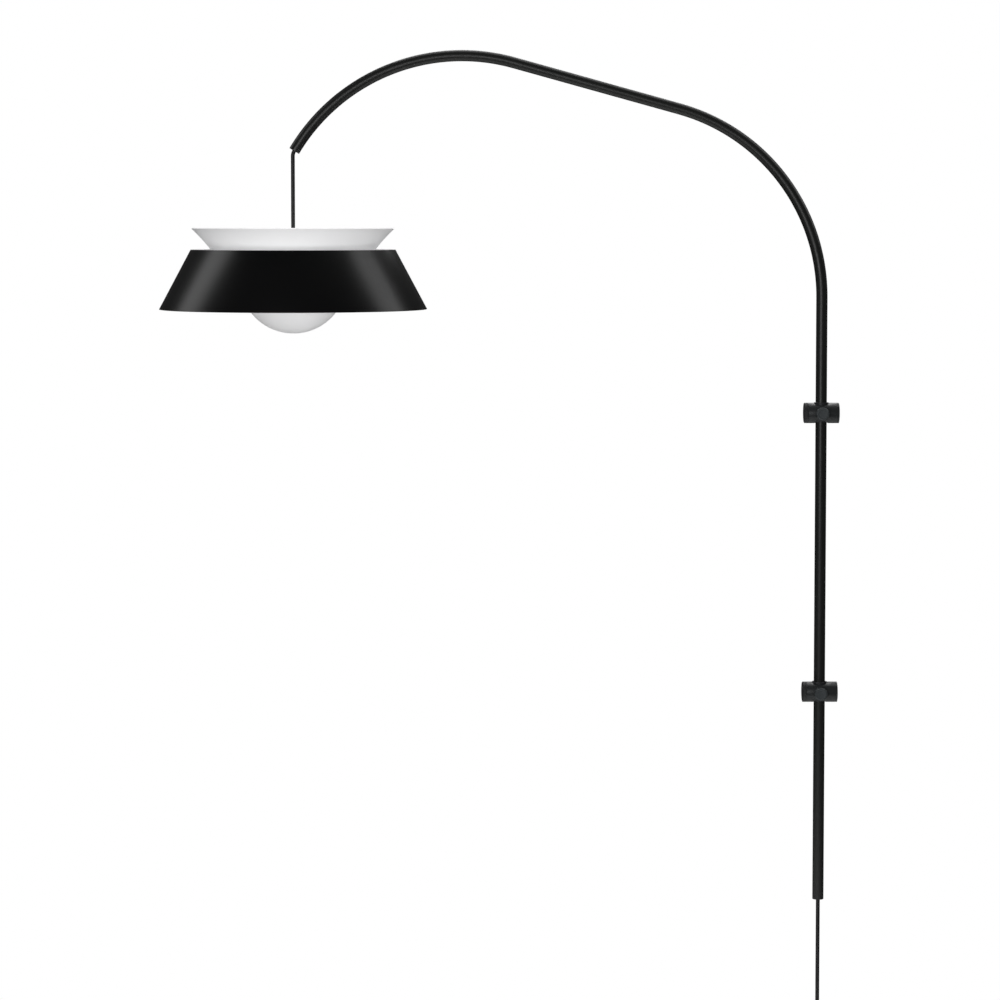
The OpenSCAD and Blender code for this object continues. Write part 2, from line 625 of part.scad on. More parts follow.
// Switch frame: origin at the switch's middle on the cord's axis, +Z up, the rocker at -Y
module at_switch() translate([-tube_off, 0, switch_z - switch_len / 2]) children();
module at_case_screws() for (z = [-1, 1]) translate([case_screw_at[0], 0, z * case_screw_at[1]]) children();
// A block with round corners, from y0 to y1
module switch_slab(w, h, r, y0, y1) translate([0, y1, 0]) rotate([90, 0, 0])
    linear_extrude(height = y1 - y0) rounded(w, h, r);
module switch_pillars(y0, y1) intersection() {
    at_case_screws() translate([0, y1, 0]) rotate([90, 0, 0]) cylinder(r = pillar_r, h = y1 - y0);
    switch_slab(switch_w, switch_len, switch_corner, y0, y1);
}
// Half of the case, from y0 to y1, hollow from i0 to i1
module switch_half(y0, y1, i0, i1) difference() {
    union() {
        difference() {
            switch_slab(switch_w, switch_len, switch_corner, y0, y1);
            switch_slab(switch_w - 2 * switch_wall, switch_len - 2 * switch_wall,
                switch_corner - switch_wall, i0, i1);
        }
        switch_pillars(y0, y1);
    }
    translate([0, 0, -switch_len]) cylinder(r = cord_r, h = 2 * switch_len);
    at_case_screws() rotate([90, 0, 0])
        cylinder(r = case_screw_r, h = switch_t - 2 * switch_wall, center = true);
}
module switch_cover() color("#1c1c1c") at_switch() difference() {
    union() {
        switch_half(-switch_t / 2, 0, -switch_t / 2 + switch_wall, 1);
        for (x = [-1, 1])
            translate([x * (rocker_w / 2 + move_gap + cheek_t / 2), -pivot_y / 2 - switch_t / 4, 0])
                cube([cheek_t, switch_t / 2 - pivot_y, cheek_h], center = true);
    }
    cube([rocker_w + 2 * move_gap, 2 * switch_t, 2 * (rocker_r + 1.4 * move_gap)], center = true);
    translate([0, -pivot_y, 0]) rotate([0, 90, 0])
        cylinder(r = pivot_r + run_clear, h = rocker_w + 2.5 * pivot_lap, center = true);
}
module switch_back() color("#1c1c1c") at_switch()
    switch_half(0, switch_t / 2, -1, switch_t / 2 - switch_wall);
module switch_screws() color("silver") at_switch() at_case_screws()
    translate([0, switch_t / 2 - switch_wall, 0]) rotate([90, 0, 0])
        cylinder(r = case_screw_r, h = switch_t - 3 * switch_wall);
module switch_terminals() color("goldenrod") at_switch() for (z = [-1, 1])
    translate([0, switch_t / 2 - switch_wall - terminal[1] / 2, z * terminal_z])
        cube(terminal, center = true);
module switch_rocker() color("#2a2a2a") at_switch() translate([0, -pivot_y, 0]) rotate([rocker_tip, 0, 0]) {
    rotate([90, 0, 90]) linear_extrude(height = rocker_w, center = true) intersection() {
        circle(rocker_r);
        polygon([[rocker_back, -rocker_len / 2], [rocker_back, rocker_len / 2],
            [-rocker_end, rocker_len / 2], [-rocker_dip, 0], [-rocker_end, -rocker_len / 2]]);
    }
    rotate([0, 90, 0]) cylinder(r = pivot_r, h = rocker_w + 2 * pivot_lap, center = true);
}
// Coil of the length that is put away, and the strap that holds it
module at_coil() translate([-tube_off, 0, coil_z]) children();
module cord_coil() color("#151515") at_coil() rotate([0, 90, 0]) rotate_extrude()
    translate([coil_r, 0]) rounded(coil_side, coil_side, cord_r);
module coil_tie() color("#2a2a2a") at_coil() rotate([tie_angle, 0, 0]) translate([0, 0, coil_r])
    rotate([90, 0, 0]) linear_extrude(height = tie_w, center = true) difference() {
        tie_outline(tie_t);
        tie_outline(0);
    }
module tie_outline(grow) translate([(tie_rear - tie_front) / 2, 0])
    rounded(tie_rear + tie_front + 2 * grow, coil_side + 2 * tie_gap + 2 * grow, cord_r + grow);
// Plug frame: origin at the top of its strain relief, on the cord's axis
module at_plug() translate([-tube_off, plug_at[0], plug_at[1]]) children();
module at_pins() for (y = [-1, 1]) translate([0, y * pin_gap / 2, -relief_len - plug_len]) children();
module plug_outline() {
    half = plug_w / 2;
    polygon([for (side = [-1, 1], p = [[plug_top_w / 2, 0], [half - plug_shoulder[0], -plug_shoulder[1]],
        [half, -plug_waist], [half, plug_foot[1] - plug_len], [half - plug_foot[0], -plug_len]])
        [side * p[0], p[1]]], [[0, 1, 2, 3, 4, 9, 8, 7, 6, 5]]);
}
module plug_body() color("#1c1c1c") at_plug() difference() {
    union() {
        translate([0, 0, -relief_len - 1])
            cylinder(r1 = cord_r + relief_w[0], r2 = cord_r + relief_w[1], h = relief_len + 1);
        translate([plug_t / 2, 0, -relief_len]) rotate([90, 0, -90])
            linear_extrude(height = plug_t) plug_outline();
    }
    at_pins() translate([0, 0, -1]) cylinder(r = pin_shank_d / 2, h = pin_root + 1);
}
module plug_pins() color("silver") at_plug() at_pins() union() {
    translate([0, 0, -pin_len]) cylinder(r = pin_d / 2, h = pin_len);
    translate([0, 0, -eps]) cylinder(r = pin_shank_d / 2, h = pin_root + eps);
}

for (s = SIDES) {
    wall_base(s[1]);
    wall_block(s[1]);
    end_cap(s[1]);
    sleeve(s[1]);
    pad(s[1]);
    stud(s[1]);
    knob(s[1]);
}
grub_screws();
arm_tube();
foot_bushing();
mouth_bushing();
tube_cord();
mouth_cord();
neck_cord();
drop_cord();
cord_grip();
grip_locknut();
holder_cap();
holder_body();
holder_core();
screw_shell();
centre_contact();
ring_nut();
carrier();
bowl();
shade_ring();
struts();
strut_screws();
strut_nuts();
ring_studs();
ring_nuts();
bulb_globe();
bulb_base();
bulb_contact();
lead_cord();
switch_cover();
switch_back();
switch_screws();
switch_terminals();
switch_rocker();
coil_cord();
cord_coil();
coil_tie();
tail_cord();
plug_body();
plug_pins();
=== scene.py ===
import json
from math import asin, atan, atan2, cos, degrees, pi, radians, sin, sqrt, tan

import bmesh
import bpy
from mathutils import Matrix, Vector


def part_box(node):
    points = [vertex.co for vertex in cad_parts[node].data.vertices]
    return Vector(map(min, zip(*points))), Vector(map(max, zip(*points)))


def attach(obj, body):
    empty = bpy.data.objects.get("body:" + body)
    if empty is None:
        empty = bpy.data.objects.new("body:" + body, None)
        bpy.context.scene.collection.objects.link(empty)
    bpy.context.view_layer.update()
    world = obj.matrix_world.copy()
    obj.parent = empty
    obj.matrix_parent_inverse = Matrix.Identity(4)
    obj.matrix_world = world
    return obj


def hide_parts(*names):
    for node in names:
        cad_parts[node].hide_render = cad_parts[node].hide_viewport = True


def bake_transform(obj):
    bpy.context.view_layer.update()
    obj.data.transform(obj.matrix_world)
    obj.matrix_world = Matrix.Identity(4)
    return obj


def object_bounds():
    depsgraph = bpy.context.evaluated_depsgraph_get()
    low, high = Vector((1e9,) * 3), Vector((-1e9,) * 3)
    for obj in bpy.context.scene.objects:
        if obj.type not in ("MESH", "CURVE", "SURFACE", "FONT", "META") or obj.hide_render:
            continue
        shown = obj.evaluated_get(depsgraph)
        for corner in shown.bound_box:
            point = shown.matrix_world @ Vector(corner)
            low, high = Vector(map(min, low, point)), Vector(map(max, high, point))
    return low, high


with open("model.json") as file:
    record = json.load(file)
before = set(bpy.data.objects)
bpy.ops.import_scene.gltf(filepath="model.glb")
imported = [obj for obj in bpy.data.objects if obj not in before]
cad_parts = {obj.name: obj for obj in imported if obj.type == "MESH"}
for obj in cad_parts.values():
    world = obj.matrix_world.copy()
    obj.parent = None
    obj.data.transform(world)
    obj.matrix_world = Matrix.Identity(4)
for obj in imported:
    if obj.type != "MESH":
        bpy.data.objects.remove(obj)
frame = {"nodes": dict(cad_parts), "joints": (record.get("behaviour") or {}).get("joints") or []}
CAD_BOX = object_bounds()
scene = bpy.context.scene

# Every size below is in millimetres, and MM turns it into metres as a mesh is made.
MM = 0.001
JOINTS = {joint["name"]: joint for joint in frame["joints"]}


# ---------- places, from the frame
def place_of(joint):
    """Where a joint's axis is."""
    return Vector(JOINTS[joint]["pos_m"]) / MM


def low(node):
    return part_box(node)[0] / MM


def high(node):
    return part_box(node)[1] / MM


def span(node, axis):
    """How far a node reaches along an axis."""
    return high(node)[axis] - low(node)[axis]


def middle(node, axis):
    return (low(node)[axis] + high(node)[axis]) / 2


def over_bowl(node):
    """A node's lowest and highest z over the bowl's bottom."""
    return low(node).z - bowl_z, high(node).z - bowl_z


X, Y, Z = 0, 1, 2
tube_x = place_of("arm_swing").x
block_z = {side: middle(side + "_block", Z) for side in ("upper", "lower")}
side_bend = place_of("shade_tilt_side")
front_bend = place_of("shade_tilt_front")
shade_x = side_bend.x
bowl_z = low("bowl").z
foot_z = low("arm_tube").z

# Wall blocks
block_r = span("upper_block", Z) / 2
block_back = -high("upper_block").x
block_front = -low("upper_block").x
cap_front = -low("upper_end_cap").x
knob_r = span("upper_knob", Z) / 2
knob_back = -high("upper_knob").y
knob_front = -low("upper_knob").y

# Sleeve in each block
tube_r = 8.0
sleeve_in = tube_r + 0.05
sleeve_out = sleeve_in + 1.5
flange_r = high("upper_sleeve").y
flange_top = high("upper_sleeve").z - block_z["upper"]
sleeve_seat = flange_top - 1.0
sleeve_foot = low("upper_sleeve").z - block_z["upper"]
slot_w = 1.2
stud_r = 3.0

# Bent tube
tube_wall = 1.5
bend_z = 364.0
bend_r = 277.0
rise_angle = 15.5
straight_len = 243.0
mouth_angle = 59.0

# Cord
cord_r = 2.8
drop_bend_r = 14.0

# Bowl and ring: heights are over the bowl's bottom
rim_r = high("bowl").y
bowl_h = over_bowl("bowl")[1]
dome_r = 76.0
flare = Vector((45.0, 56.0))
shade_wall = 1.5
ring_rise, ring_top = over_bowl("shade_ring")
ring_foot_r = high("shade_ring").y
ring_spread = 45.0
strap_t = 2.0
strut_z = 74.0
strut_h = 16.0
strut_angle = 9.0
arm_count = 3
first_arm = 60.0
screw_r = 2.0

# Lamp holder: heights are over the bowl's bottom
holder_r = 20.0
holder_wall = 1.7
grip_r = 7.0
nipple_r = 5.0
nipple_foot, grip_top = over_bowl("cord_grip")
cap_foot, cap_top = over_bowl("holder_cap")
body_foot = over_bowl("holder_body")[0]
shoulder_z = cap_foot - 12.0
nut_foot, nut_top = over_bowl("ring_nut")
nut_out = high("ring_nut").y
core_top = over_bowl("holder_core")[1]
bulb_r = high("bulb_globe").y
bulb_low, bulb_high = over_bowl("bulb_globe")
bulb_neck_r = 17.0
base_low, base_high = over_bowl("bulb_base")
base_r = high("bulb_base").y

# Cord switch, coil and plug
switch_top = high("switch_cover").z
switch_foot = low("switch_cover").z
switch_z = (switch_top + switch_foot) / 2
switch_w = span("switch_cover", X)
switch_t = high("switch_back").y - low("switch_cover").y
switch_corner = 7.0
rocker_w = 9.5
rocker_tip = 8.0
pivot = place_of("switch_press")
coil_z = middle("cord_coil", Z)
plug_y = middle("plug_body", Y)
plug_z = high("plug_body").z
plug_w = span("plug_body", Y)
plug_t = span("plug_body", X)
relief_len = 16.0
plug_len = plug_z - low("plug_body").z - relief_len
pin_len = low("plug_body").z - low("plug_pins").z
pin_gap = 18.6
pin_r = 2.0


# ---------- camera
def make_camera():
    """A long lens in front of the arm, level with the shade and shifted down to take in the whole tube."""
    distance, width = 4.2, 1.4209
    eye = Vector((-0.4822, -distance, 0.465))
    tilt, shift = 3.573, -0.089
    data = bpy.data.cameras.new("camera")
    data.sensor_width = 36.0
    data.lens = data.sensor_width * distance / width
    data.shift_y = shift
    data.clip_end = 100.0
    camera = bpy.data.objects.new("camera", data)
    scene.collection.objects.link(camera)
    camera.location = eye
    camera.rotation_euler = (radians(90 - tilt), 0.0, 0.0)
    scene.camera = camera


make_camera()


# ---------- mesh helpers
def smooth_curve(points, step=2.0):
    """Points along a Catmull-Rom curve through the ones given, about step millimetres apart."""
    points = [Vector(p) for p in points]
    ends = [2 * points[0] - points[1]] + points + [2 * points[-1] - points[-2]]
    out = []
    for a, b, c, d in zip(ends, ends[1:], ends[2:], ends[3:]):
        count = max(2, round((c - b).length / step))
        for k in range(count):
            t = k / count
            out.append(0.5 * ((2 * b) + (c - a) * t + (2 * a - 5 * b + 4 * c - d) * t ** 2
                              + (3 * b - a - 3 * c + d) * t ** 3))
    return out + [points[-1]]


def arc(centre, radius, start, end, steps):
    """Points of an arc in a plane, angles in degrees."""
    turns = [radians(start + (end - start) * k / steps) for k in range(steps + 1)]
    return [Vector((centre[0] + radius * cos(a), centre[1] + radius * sin(a))) for a in turns]


def rounded(corners, radius, steps=4):
    """A closed outline with its corners rounded. radius is one number, or one for each corner."""
    corners = [Vector(c) for c in corners]
    radii = [radius] * len(corners) if isinstance(radius, (int, float)) else radius
    out = []
    for i, (corner, r) in enumerate(zip(corners, radii)):
        back, on = corners[i - 1] - corner, corners[(i + 1) % len(corners)] - corner
        if r == 0 or back.angle(on) > 3.1:
            out.append(corner)
            continue
        half = back.angle(on) / 2
        reach = min(r / tan(half), 0.49 * back.length, 0.49 * on.length)
        centre = corner + (back.normalized() + on.normalized()).normalized() * reach / cos(half)
        a, b = corner + back.normalized() * reach - centre, corner + on.normalized() * reach - centre
        turn = a.angle_signed(b)
        out += [centre + Matrix.Rotation(-turn * k / steps, 2) @ a for k in range(steps + 1)]
    return out


def round_rect(width, height, corner, steps=6):
    w, h = width / 2, height / 2
    return rounded([(w, -h), (w, h), (-w, h), (-w, -h)], min(corner, w, h) * 0.999, steps)


def finished(bm, sharp=32):
    """A mesh from bm: doubles merged, normals outward, smooth but for edges sharper than the angle."""
    bmesh.ops.remove_doubles(bm, verts=bm.verts, dist=2e-7)
    bmesh.ops.recalc_face_normals(bm, faces=bm.faces)
    mesh = bpy.data.meshes.new("mesh")
    bm.to_mesh(mesh)
    bm.free()
    return shaded(mesh, sharp)


def shaded(mesh, sharp=32):
    mesh.shade_smooth()
    mesh.set_sharp_from_angle(angle=radians(sharp))
    return mesh


def grid(rings, closed_rows, caps, sharp=32):
    """A skin over rows of points in millimetres, with a UV map in metres along both ways."""
    bm = bmesh.new()
    uv = bm.loops.layers.uv.new("UVMap")
    rows = [[bm.verts.new(Vector(p) * MM) for p in ring] for ring in rings]
    width = [0.0]
    for p, q in zip(rings[0], rings[0][1:] + rings[0][:1]):
        width.append(width[-1] + (Vector(q) - Vector(p)).length * MM)
    third = len(rings[0]) // 3
    length = [0.0]
    for a, b in zip(rings, rings[1:] + rings[:1]):
        length.append(length[-1] + (Vector(b[third]) - Vector(a[third])).length * MM)
    for i in range(len(rows) if closed_rows else len(rows) - 1):
        for k in range(len(rings[0])):
            m = (k + 1) % len(rings[0])
            after = (i + 1) % len(rows)
            face = bm.faces.new((rows[i][k], rows[i][m], rows[after][m], rows[after][k]))
            corners = ((width[k], length[i]), (width[k + 1], length[i]),
                       (width[k + 1], length[i + 1]), (width[k], length[i + 1]))
            for loop, place in zip(face.loops, corners):
                loop[uv].uv = place
    if caps:
        bm.faces.new(rows[0])
        bm.faces.new(rows[-1])
    return finished(bm, sharp)


def lathe(outline, steps=96, start=0.0, sweep=360.0, sharp=32):
    """A closed (r, z) outline turned about Z."""
    whole = sweep >= 360.0
    turns = [radians(start + sweep * k / steps) for k in range(steps if whole else steps + 1)]
    rings = [[(r * cos(a), r * sin(a), z) for r, z in outline] for a in turns]
    return grid(rings, whole, not whole, sharp)


def loft(rings, sharp=32):
    """A skin over closed rings, with a cap at each end."""
    return grid(rings, False, True, sharp)


def tube_along(path, radius, sides=16):
    """A round cord along a path of points in millimetres."""
    path = [Vector(p) for p in path]
    rings = []
    side = None
    for i, p in enumerate(path):
        along = (path[min(i + 1, len(path) - 1)] - path[max(i - 1, 0)]).normalized()
        if side is None:
            side = along.orthogonal().normalized()
        side = (side - along * side.dot(along)).normalized()
        up = along.cross(side)
        turns = [2 * pi * k / sides for k in range(sides)]
        rings.append([p + radius * (cos(a) * side + sin(a) * up) for a in turns])
    return loft(rings, 60)


def placed(mesh, *steps):
    """The mesh moved by the matrices, the last one first."""
    for step in reversed(steps):
        mesh.transform(step)
    return mesh


def at(x=0.0, y=0.0, z=0.0):
    return Matrix.Translation(Vector((x, y, z)) * MM)


def turned(degrees, axis):
    return Matrix.Rotation(radians(degrees), 4, axis)


def joined(*meshes):
    """One mesh that holds all the given ones as separate shells."""
    bm = bmesh.new()
    for mesh in meshes:
        bm.from_mesh(mesh)
    out = bpy.data.meshes.new("mesh")
    bm.to_mesh(out)
    bm.free()
    return out


def with_modifiers(mesh, *modifiers, sharp=32):
    """The mesh after the modifiers, each given as (kind, settings)."""
    holder = bpy.data.objects.new("holder", mesh)
    scene.collection.objects.link(holder)
    for kind, settings in modifiers:
        modifier = holder.modifiers.new(kind.lower(), kind)
        for name, value in settings.items():
            setattr(modifier, name, value)
    out = bpy.data.meshes.new_from_object(holder.evaluated_get(bpy.context.evaluated_depsgraph_get()))
    bpy.data.objects.remove(holder)
    return shaded(out, sharp)


def cut(mesh, *cutters, way="DIFFERENCE"):
    """The mesh with the cutters taken away, or only what it shares with them."""
    tools = [bpy.data.objects.new("cutter", cutter) for cutter in cutters]
    for tool in tools:
        scene.collection.objects.link(tool)
    steps = [("BOOLEAN", {"operation": way, "solver": "EXACT", "object": tool}) for tool in tools]
    out = with_modifiers(mesh, *steps)
    for tool in tools:
        bpy.data.objects.remove(tool)
    return out


def softened(mesh, width, segments=2, angle=30):
    """The mesh with a small round on every edge sharper than the angle."""
    settings = {"width": width * MM, "segments": segments, "limit_method": "ANGLE",
                "angle_limit": radians(angle), "harden_normals": False}
    return with_modifiers(mesh, ("BEVEL", settings), sharp=50)


def section(r0, r1, z0, z1):
    """The corners of a ring's cut face, from its foot inside."""
    return [(r0, z0), (r1, z0), (r1, z1), (r0, z1)]


def rod(radius, z0, z1, steps=48):
    return lathe(section(0, radius, z0, z1), steps)


def slab(width, height, corner, levels, steps=6):
    """A block of round-cornered rings. levels gives each ring's height and how far it is drawn in."""
    rings = []
    for z, inset in levels:
        outline = round_rect(width - 2 * inset, height - 2 * inset, corner - inset, steps)
        rings.append([(p.x, p.y, z) for p in outline])
    return loft(rings)


def domed_levels(z0, z1, low_round, high_round, steps=4):
    """Levels of a slab from z0 to z1, with its lower and upper edge rounded."""
    turns = [pi / 2 * k / steps for k in range(steps + 1)]
    foot = [(z0 + low_round * (1 - cos(a)), low_round * (1 - sin(a))) for a in turns]
    head = [(z1 - high_round * (1 - sin(a)), high_round * (1 - cos(a))) for a in turns]
    return (foot if low_round else [(z0, 0.0)]) + (head if high_round else [(z1, 0.0)])


# ---------- nodes
def add(tree, kind, sockets=None, **settings):
    """Adds a node. settings are its own, and sockets gives an input a value or the output that feeds it."""
    made = tree.nodes.new(kind)
    for name, value in settings.items():
        setattr(made, name, value)
    for name, value in (sockets or {}).items():
        if isinstance(value, bpy.types.NodeSocket):
            tree.links.new(value, made.inputs[name])
        else:
            made.inputs[name].default_value = value
    return made


def new_tree(name, inputs):
    """A Geometry Nodes tree with a mesh in and out, the inputs named, and the finish that it ends with."""
    tree = bpy.data.node_groups.new(name, "GeometryNodeTree")
    tree.interface.new_socket("Mesh", in_out="INPUT", socket_type="NodeSocketGeometry")
    for label, kind in [*inputs, ("Finish", "NodeSocketMaterial")]:
        tree.interface.new_socket(label, in_out="INPUT", socket_type=kind)
    tree.interface.new_socket("Mesh", in_out="OUTPUT", socket_type="NodeSocketGeometry")
    return tree, add(tree, "NodeGroupInput").outputs


def end_tree(tree, geometry, finish):
    real = add(tree, "GeometryNodeRealizeInstances", {"Geometry": geometry})
    coated = add(tree, "GeometryNodeSetMaterial", {"Geometry": real.outputs[0], "Material": finish})
    add(tree, "NodeGroupOutput", {"Mesh": coated.outputs[0]})
    return tree


def ring_tree():
    """Copies of a mesh turned evenly about its Z axis."""
    tree, given = new_tree("ring of copies", [("Count", "NodeSocketInt"), ("First angle", "NodeSocketFloat")])
    points = add(tree, "GeometryNodePoints", {"Count": given["Count"]})
    index = add(tree, "GeometryNodeInputIndex")
    step = add(tree, "ShaderNodeMath", {0: 2 * pi, 1: given["Count"]}, operation="DIVIDE")
    turn = add(tree, "ShaderNodeMath", {0: index.outputs[0], 1: step.outputs[0], 2: given["First angle"]},
               operation="MULTIPLY_ADD")
    angles = add(tree, "ShaderNodeCombineXYZ", {"Z": turn.outputs[0]})
    rotation = add(tree, "FunctionNodeEulerToRotation", {0: angles.outputs[0]})
    copies = add(tree, "GeometryNodeInstanceOnPoints", {
        "Points": points.outputs[0], "Instance": given["Mesh"], "Rotation": rotation.outputs[0]})
    return end_tree(tree, copies.outputs[0], given["Finish"])


def row_tree():
    """Copies of a mesh in a straight row, centred on it."""
    tree, given = new_tree("row of copies", [("Count", "NodeSocketInt"), ("Step", "NodeSocketVector")])
    last = add(tree, "ShaderNodeMath", {0: given["Count"], 1: 1.0}, operation="SUBTRACT")
    half = add(tree, "ShaderNodeMath", {0: last.outputs[0], 1: -0.5}, operation="MULTIPLY")
    first = add(tree, "ShaderNodeVectorMath", {0: given["Step"], "Scale": half.outputs[0]}, operation="SCALE")
    line = add(tree, "GeometryNodeMeshLine", {
        "Count": given["Count"], "Start Location": first.outputs[0], "Offset": given["Step"]})
    copies = add(tree, "GeometryNodeInstanceOnPoints", {"Points": line.outputs[0], "Instance": given["Mesh"]})
    return end_tree(tree, copies.outputs[0], given["Finish"])


def sweep_tree():
    """A round skin along a curve."""
    tree, given = new_tree("skin along a curve", [("Radius", "NodeSocketFloat"), ("Sides", "NodeSocketInt")])
    circle = add(tree, "GeometryNodeCurvePrimitiveCircle", {
        "Resolution": given["Sides"], "Radius": given["Radius"]})
    skin = add(tree, "GeometryNodeCurveToMesh", {"Curve": given["Mesh"], "Profile Curve": circle.outputs[0]})
    return end_tree(tree, skin.outputs[0], given["Finish"])


TREES = {"ring": ring_tree(), "row": row_tree(), "sweep": sweep_tree()}


def grown(data, tree, **values):
    """The mesh that a tree makes from a mesh or a curve. A space in an input's name is written _."""
    holder = bpy.data.objects.new("holder", data)
    scene.collection.objects.link(holder)
    modifier = holder.modifiers.new("nodes", "NODES")
    modifier.node_group = TREES[tree]
    for item in TREES[tree].interface.items_tree:
        name = item.name.replace(" ", "_")
        if item.in_out == "INPUT" and name in values:
            modifier[item.identifier] = values[name]
    out = bpy.data.meshes.new_from_object(holder.evaluated_get(bpy.context.evaluated_depsgraph_get()))
    bpy.data.objects.remove(holder)
    return out


def around(mesh, count, finish, first=0.0, sharp=32):
    return shaded(grown(mesh, "ring", Count=count, First_angle=radians(first), Finish=finish), sharp)


def in_row(mesh, count, step, finish, sharp=32):
    step = [s * MM for s in step]
    return shaded(grown(mesh, "row", Count=count, Step=step, Finish=finish), sharp)


# ---------- materials
def srgb(code):
    """The linear colour of an sRGB hex value."""
    channels = [int(code[i:i + 2], 16) / 255 for i in (1, 3, 5)]
    linear = [c / 12.92 if c <= 0.04045 else ((c + 0.055) / 1.055) ** 2.4 for c in channels]
    return (*linear, 1.0)


def finish_of(name, colours, roughness, grain, relief, cloud=60.0, lines=None, **shader):
    """A material whose colour drifts between two hex values over cloud millimetres, whose roughness drifts
    with it, and whose surface has a grain of that size and relief, in millimetres. lines is the distance
    between turned or drawn lines along the piece's own UV map, and shader sets the shader's own sockets."""
    material = bpy.data.materials.new(name)
    material.use_nodes = True
    tree = material.node_tree
    tree.nodes.clear()
    where = add(tree, "ShaderNodeTexCoord")
    drift = add(tree, "ShaderNodeTexNoise", {
        "Vector": where.outputs["Object"], "Scale": 1 / (cloud * MM), "Detail": 3.0})
    colour = add(tree, "ShaderNodeMix", {
        "Factor": drift.outputs["Fac"], "A": srgb(colours[0]), "B": srgb(colours[1])}, data_type="RGBA")
    rough = add(tree, "ShaderNodeMapRange", {
        "Value": drift.outputs["Fac"], "To Min": roughness[0], "To Max": roughness[1]})
    fine = add(tree, "ShaderNodeTexNoise", {
        "Vector": where.outputs["Object"], "Scale": 1 / (grain * MM), "Detail": 2.0})
    height = fine.outputs["Fac"]
    if lines:
        split = add(tree, "ShaderNodeSeparateXYZ", {0: where.outputs["UV"]})
        rings = add(tree, "ShaderNodeTexNoise", {
            "W": split.outputs[0], "Scale": 1 / (lines * MM), "Detail": 2.0}, noise_dimensions="1D")
        both = add(tree, "ShaderNodeMath", {0: rings.outputs["Fac"], 1: height}, operation="ADD")
        height = both.outputs[0]
    bump = add(tree, "ShaderNodeBump", {"Height": height, "Distance": relief * MM, "Strength": 1.0})
    surface = add(tree, "ShaderNodeBsdfPrincipled", {
        "Base Color": colour.outputs["Result"], "Roughness": rough.outputs[0], "Normal": bump.outputs[0],
        **shader})
    add(tree, "ShaderNodeOutputMaterial", {"Surface": surface.outputs[0]})
    return material


# Satin black polyester powder coat on steel: an even, faintly orange-peeled film with a soft, wide gloss.
# Real orange peel is about 0.5 mm across, drawn at 3 mm so that it shows.
TUBE_PAINT = finish_of("satin black powder coat", ("#0f100f", "#141514"), (0.34, 0.42), 3.0, 0.004,
                       IOR=1.5)
# Dark grey anodised aluminium, turned on a lathe: metal under a dyed film, with fine rings. Real feed
# marks are about 0.1 mm apart, drawn at 0.5 mm so that they show.
BLOCK_METAL = finish_of("dark grey anodised aluminium", ("#212324", "#292b2c"), (0.32, 0.42), 0.8, 0.006,
                        cloud=18.0, lines=0.5, Metallic=0.35)
# The same on the knobs, dyed a shade lighter, with a duller face.
KNOB_METAL = finish_of("grey anodised aluminium", ("#303436", "#383c3e"), (0.38, 0.48), 0.8, 0.006,
                       cloud=14.0, lines=0.45, Metallic=0.3)
# Matt black moulded nylon: a fine spark-eroded grain, about 0.2 mm in the mould, drawn at 0.5 mm.
CAP_PLASTIC = finish_of("matt black moulded nylon", ("#141516", "#1b1c1d"), (0.52, 0.62), 0.5, 0.012,
                        cloud=12.0, IOR=1.53)
# Black moulded ABS: the same grain, a little glossier.
BLACK_PLASTIC = finish_of("black moulded ABS", ("#121212", "#191919"), (0.40, 0.52), 0.5, 0.010,
                          cloud=20.0, IOR=1.54)
# Black nylon, turned: a waxy, soft gloss, and lighter where it is rubbed.
NYLON = finish_of("black turned nylon", ("#17181a", "#222326"), (0.42, 0.52), 0.7, 0.008, cloud=10.0,
                  IOR=1.53)
# Bright zinc plate: cool and slightly clouded.
ZINC = finish_of("zinc plated steel", ("#9da1a6", "#bcbfc2"), (0.24, 0.36), 0.5, 0.006, cloud=6.0,
                 Metallic=1.0)
# Turned brass: warm, bright metal, a little dulled by air.
BRASS = finish_of("turned brass", ("#b18a4a", "#cda765"), (0.22, 0.34), 0.4, 0.005, cloud=5.0,
                  Metallic=1.0)
# Black PVC cable jacket: extruded, so it is smooth, with a soft gloss and hardly any grain.
JACKET = finish_of("black PVC cable jacket", ("#070708", "#0c0c0d"), (0.44, 0.54), 2.0, 0.005, cloud=25.0,
                   IOR=1.54)
# Matt white powder coat: a soft, even white with almost no gloss.
WHITE_PAINT = finish_of("matt white powder coat", ("#f0f0f1", "#f6f6f7"), (0.50, 0.60), 1.4, 0.008,
                        cloud=90.0, IOR=1.5)
# Satin black wet paint on spun aluminium: smoother than powder, with very faint spinning rings.
RING_PAINT = finish_of("satin black paint on spun aluminium", ("#030303", "#050506"), (0.26, 0.32), 1.6,
                       0.004, cloud=110.0, lines=4.0, IOR=1.5)
# Glazed steatite ceramic: cream under a hard, wet-looking glaze.
CERAMIC = finish_of("glazed steatite ceramic", ("#dcd7c8", "#e8e3d6"), (0.14, 0.24), 1.0, 0.006,
                    cloud=9.0, IOR=1.55)
# Opal glass: a thin white layer in clear glass, bright and glossy, with light scattered inside it.
OPAL_GLASS = finish_of("opal glass", ("#f2f1ec", "#f8f7f4"), (0.06, 0.10), 3.0, 0.004, cloud=30.0,
                       IOR=1.52)
# Pressed aluminium of a bulb's screw base: bright, with the marks of the rolling die.
SHELL_METAL = finish_of("pressed aluminium", ("#b9bbbd", "#cfd0d1"), (0.26, 0.38), 0.6, 0.01, cloud=6.0,
                        Metallic=1.0)
# Woven nylon hook-and-loop tape: ribs a little over a millimetre apart and a fuzzy sheen.
STRAP = finish_of("woven nylon tape", ("#151516", "#202022"), (0.80, 0.92), 0.9, 0.10, cloud=4.0,
                  lines=1.2, **{"Sheen Weight": 0.4, "Sheen Roughness": 0.4})

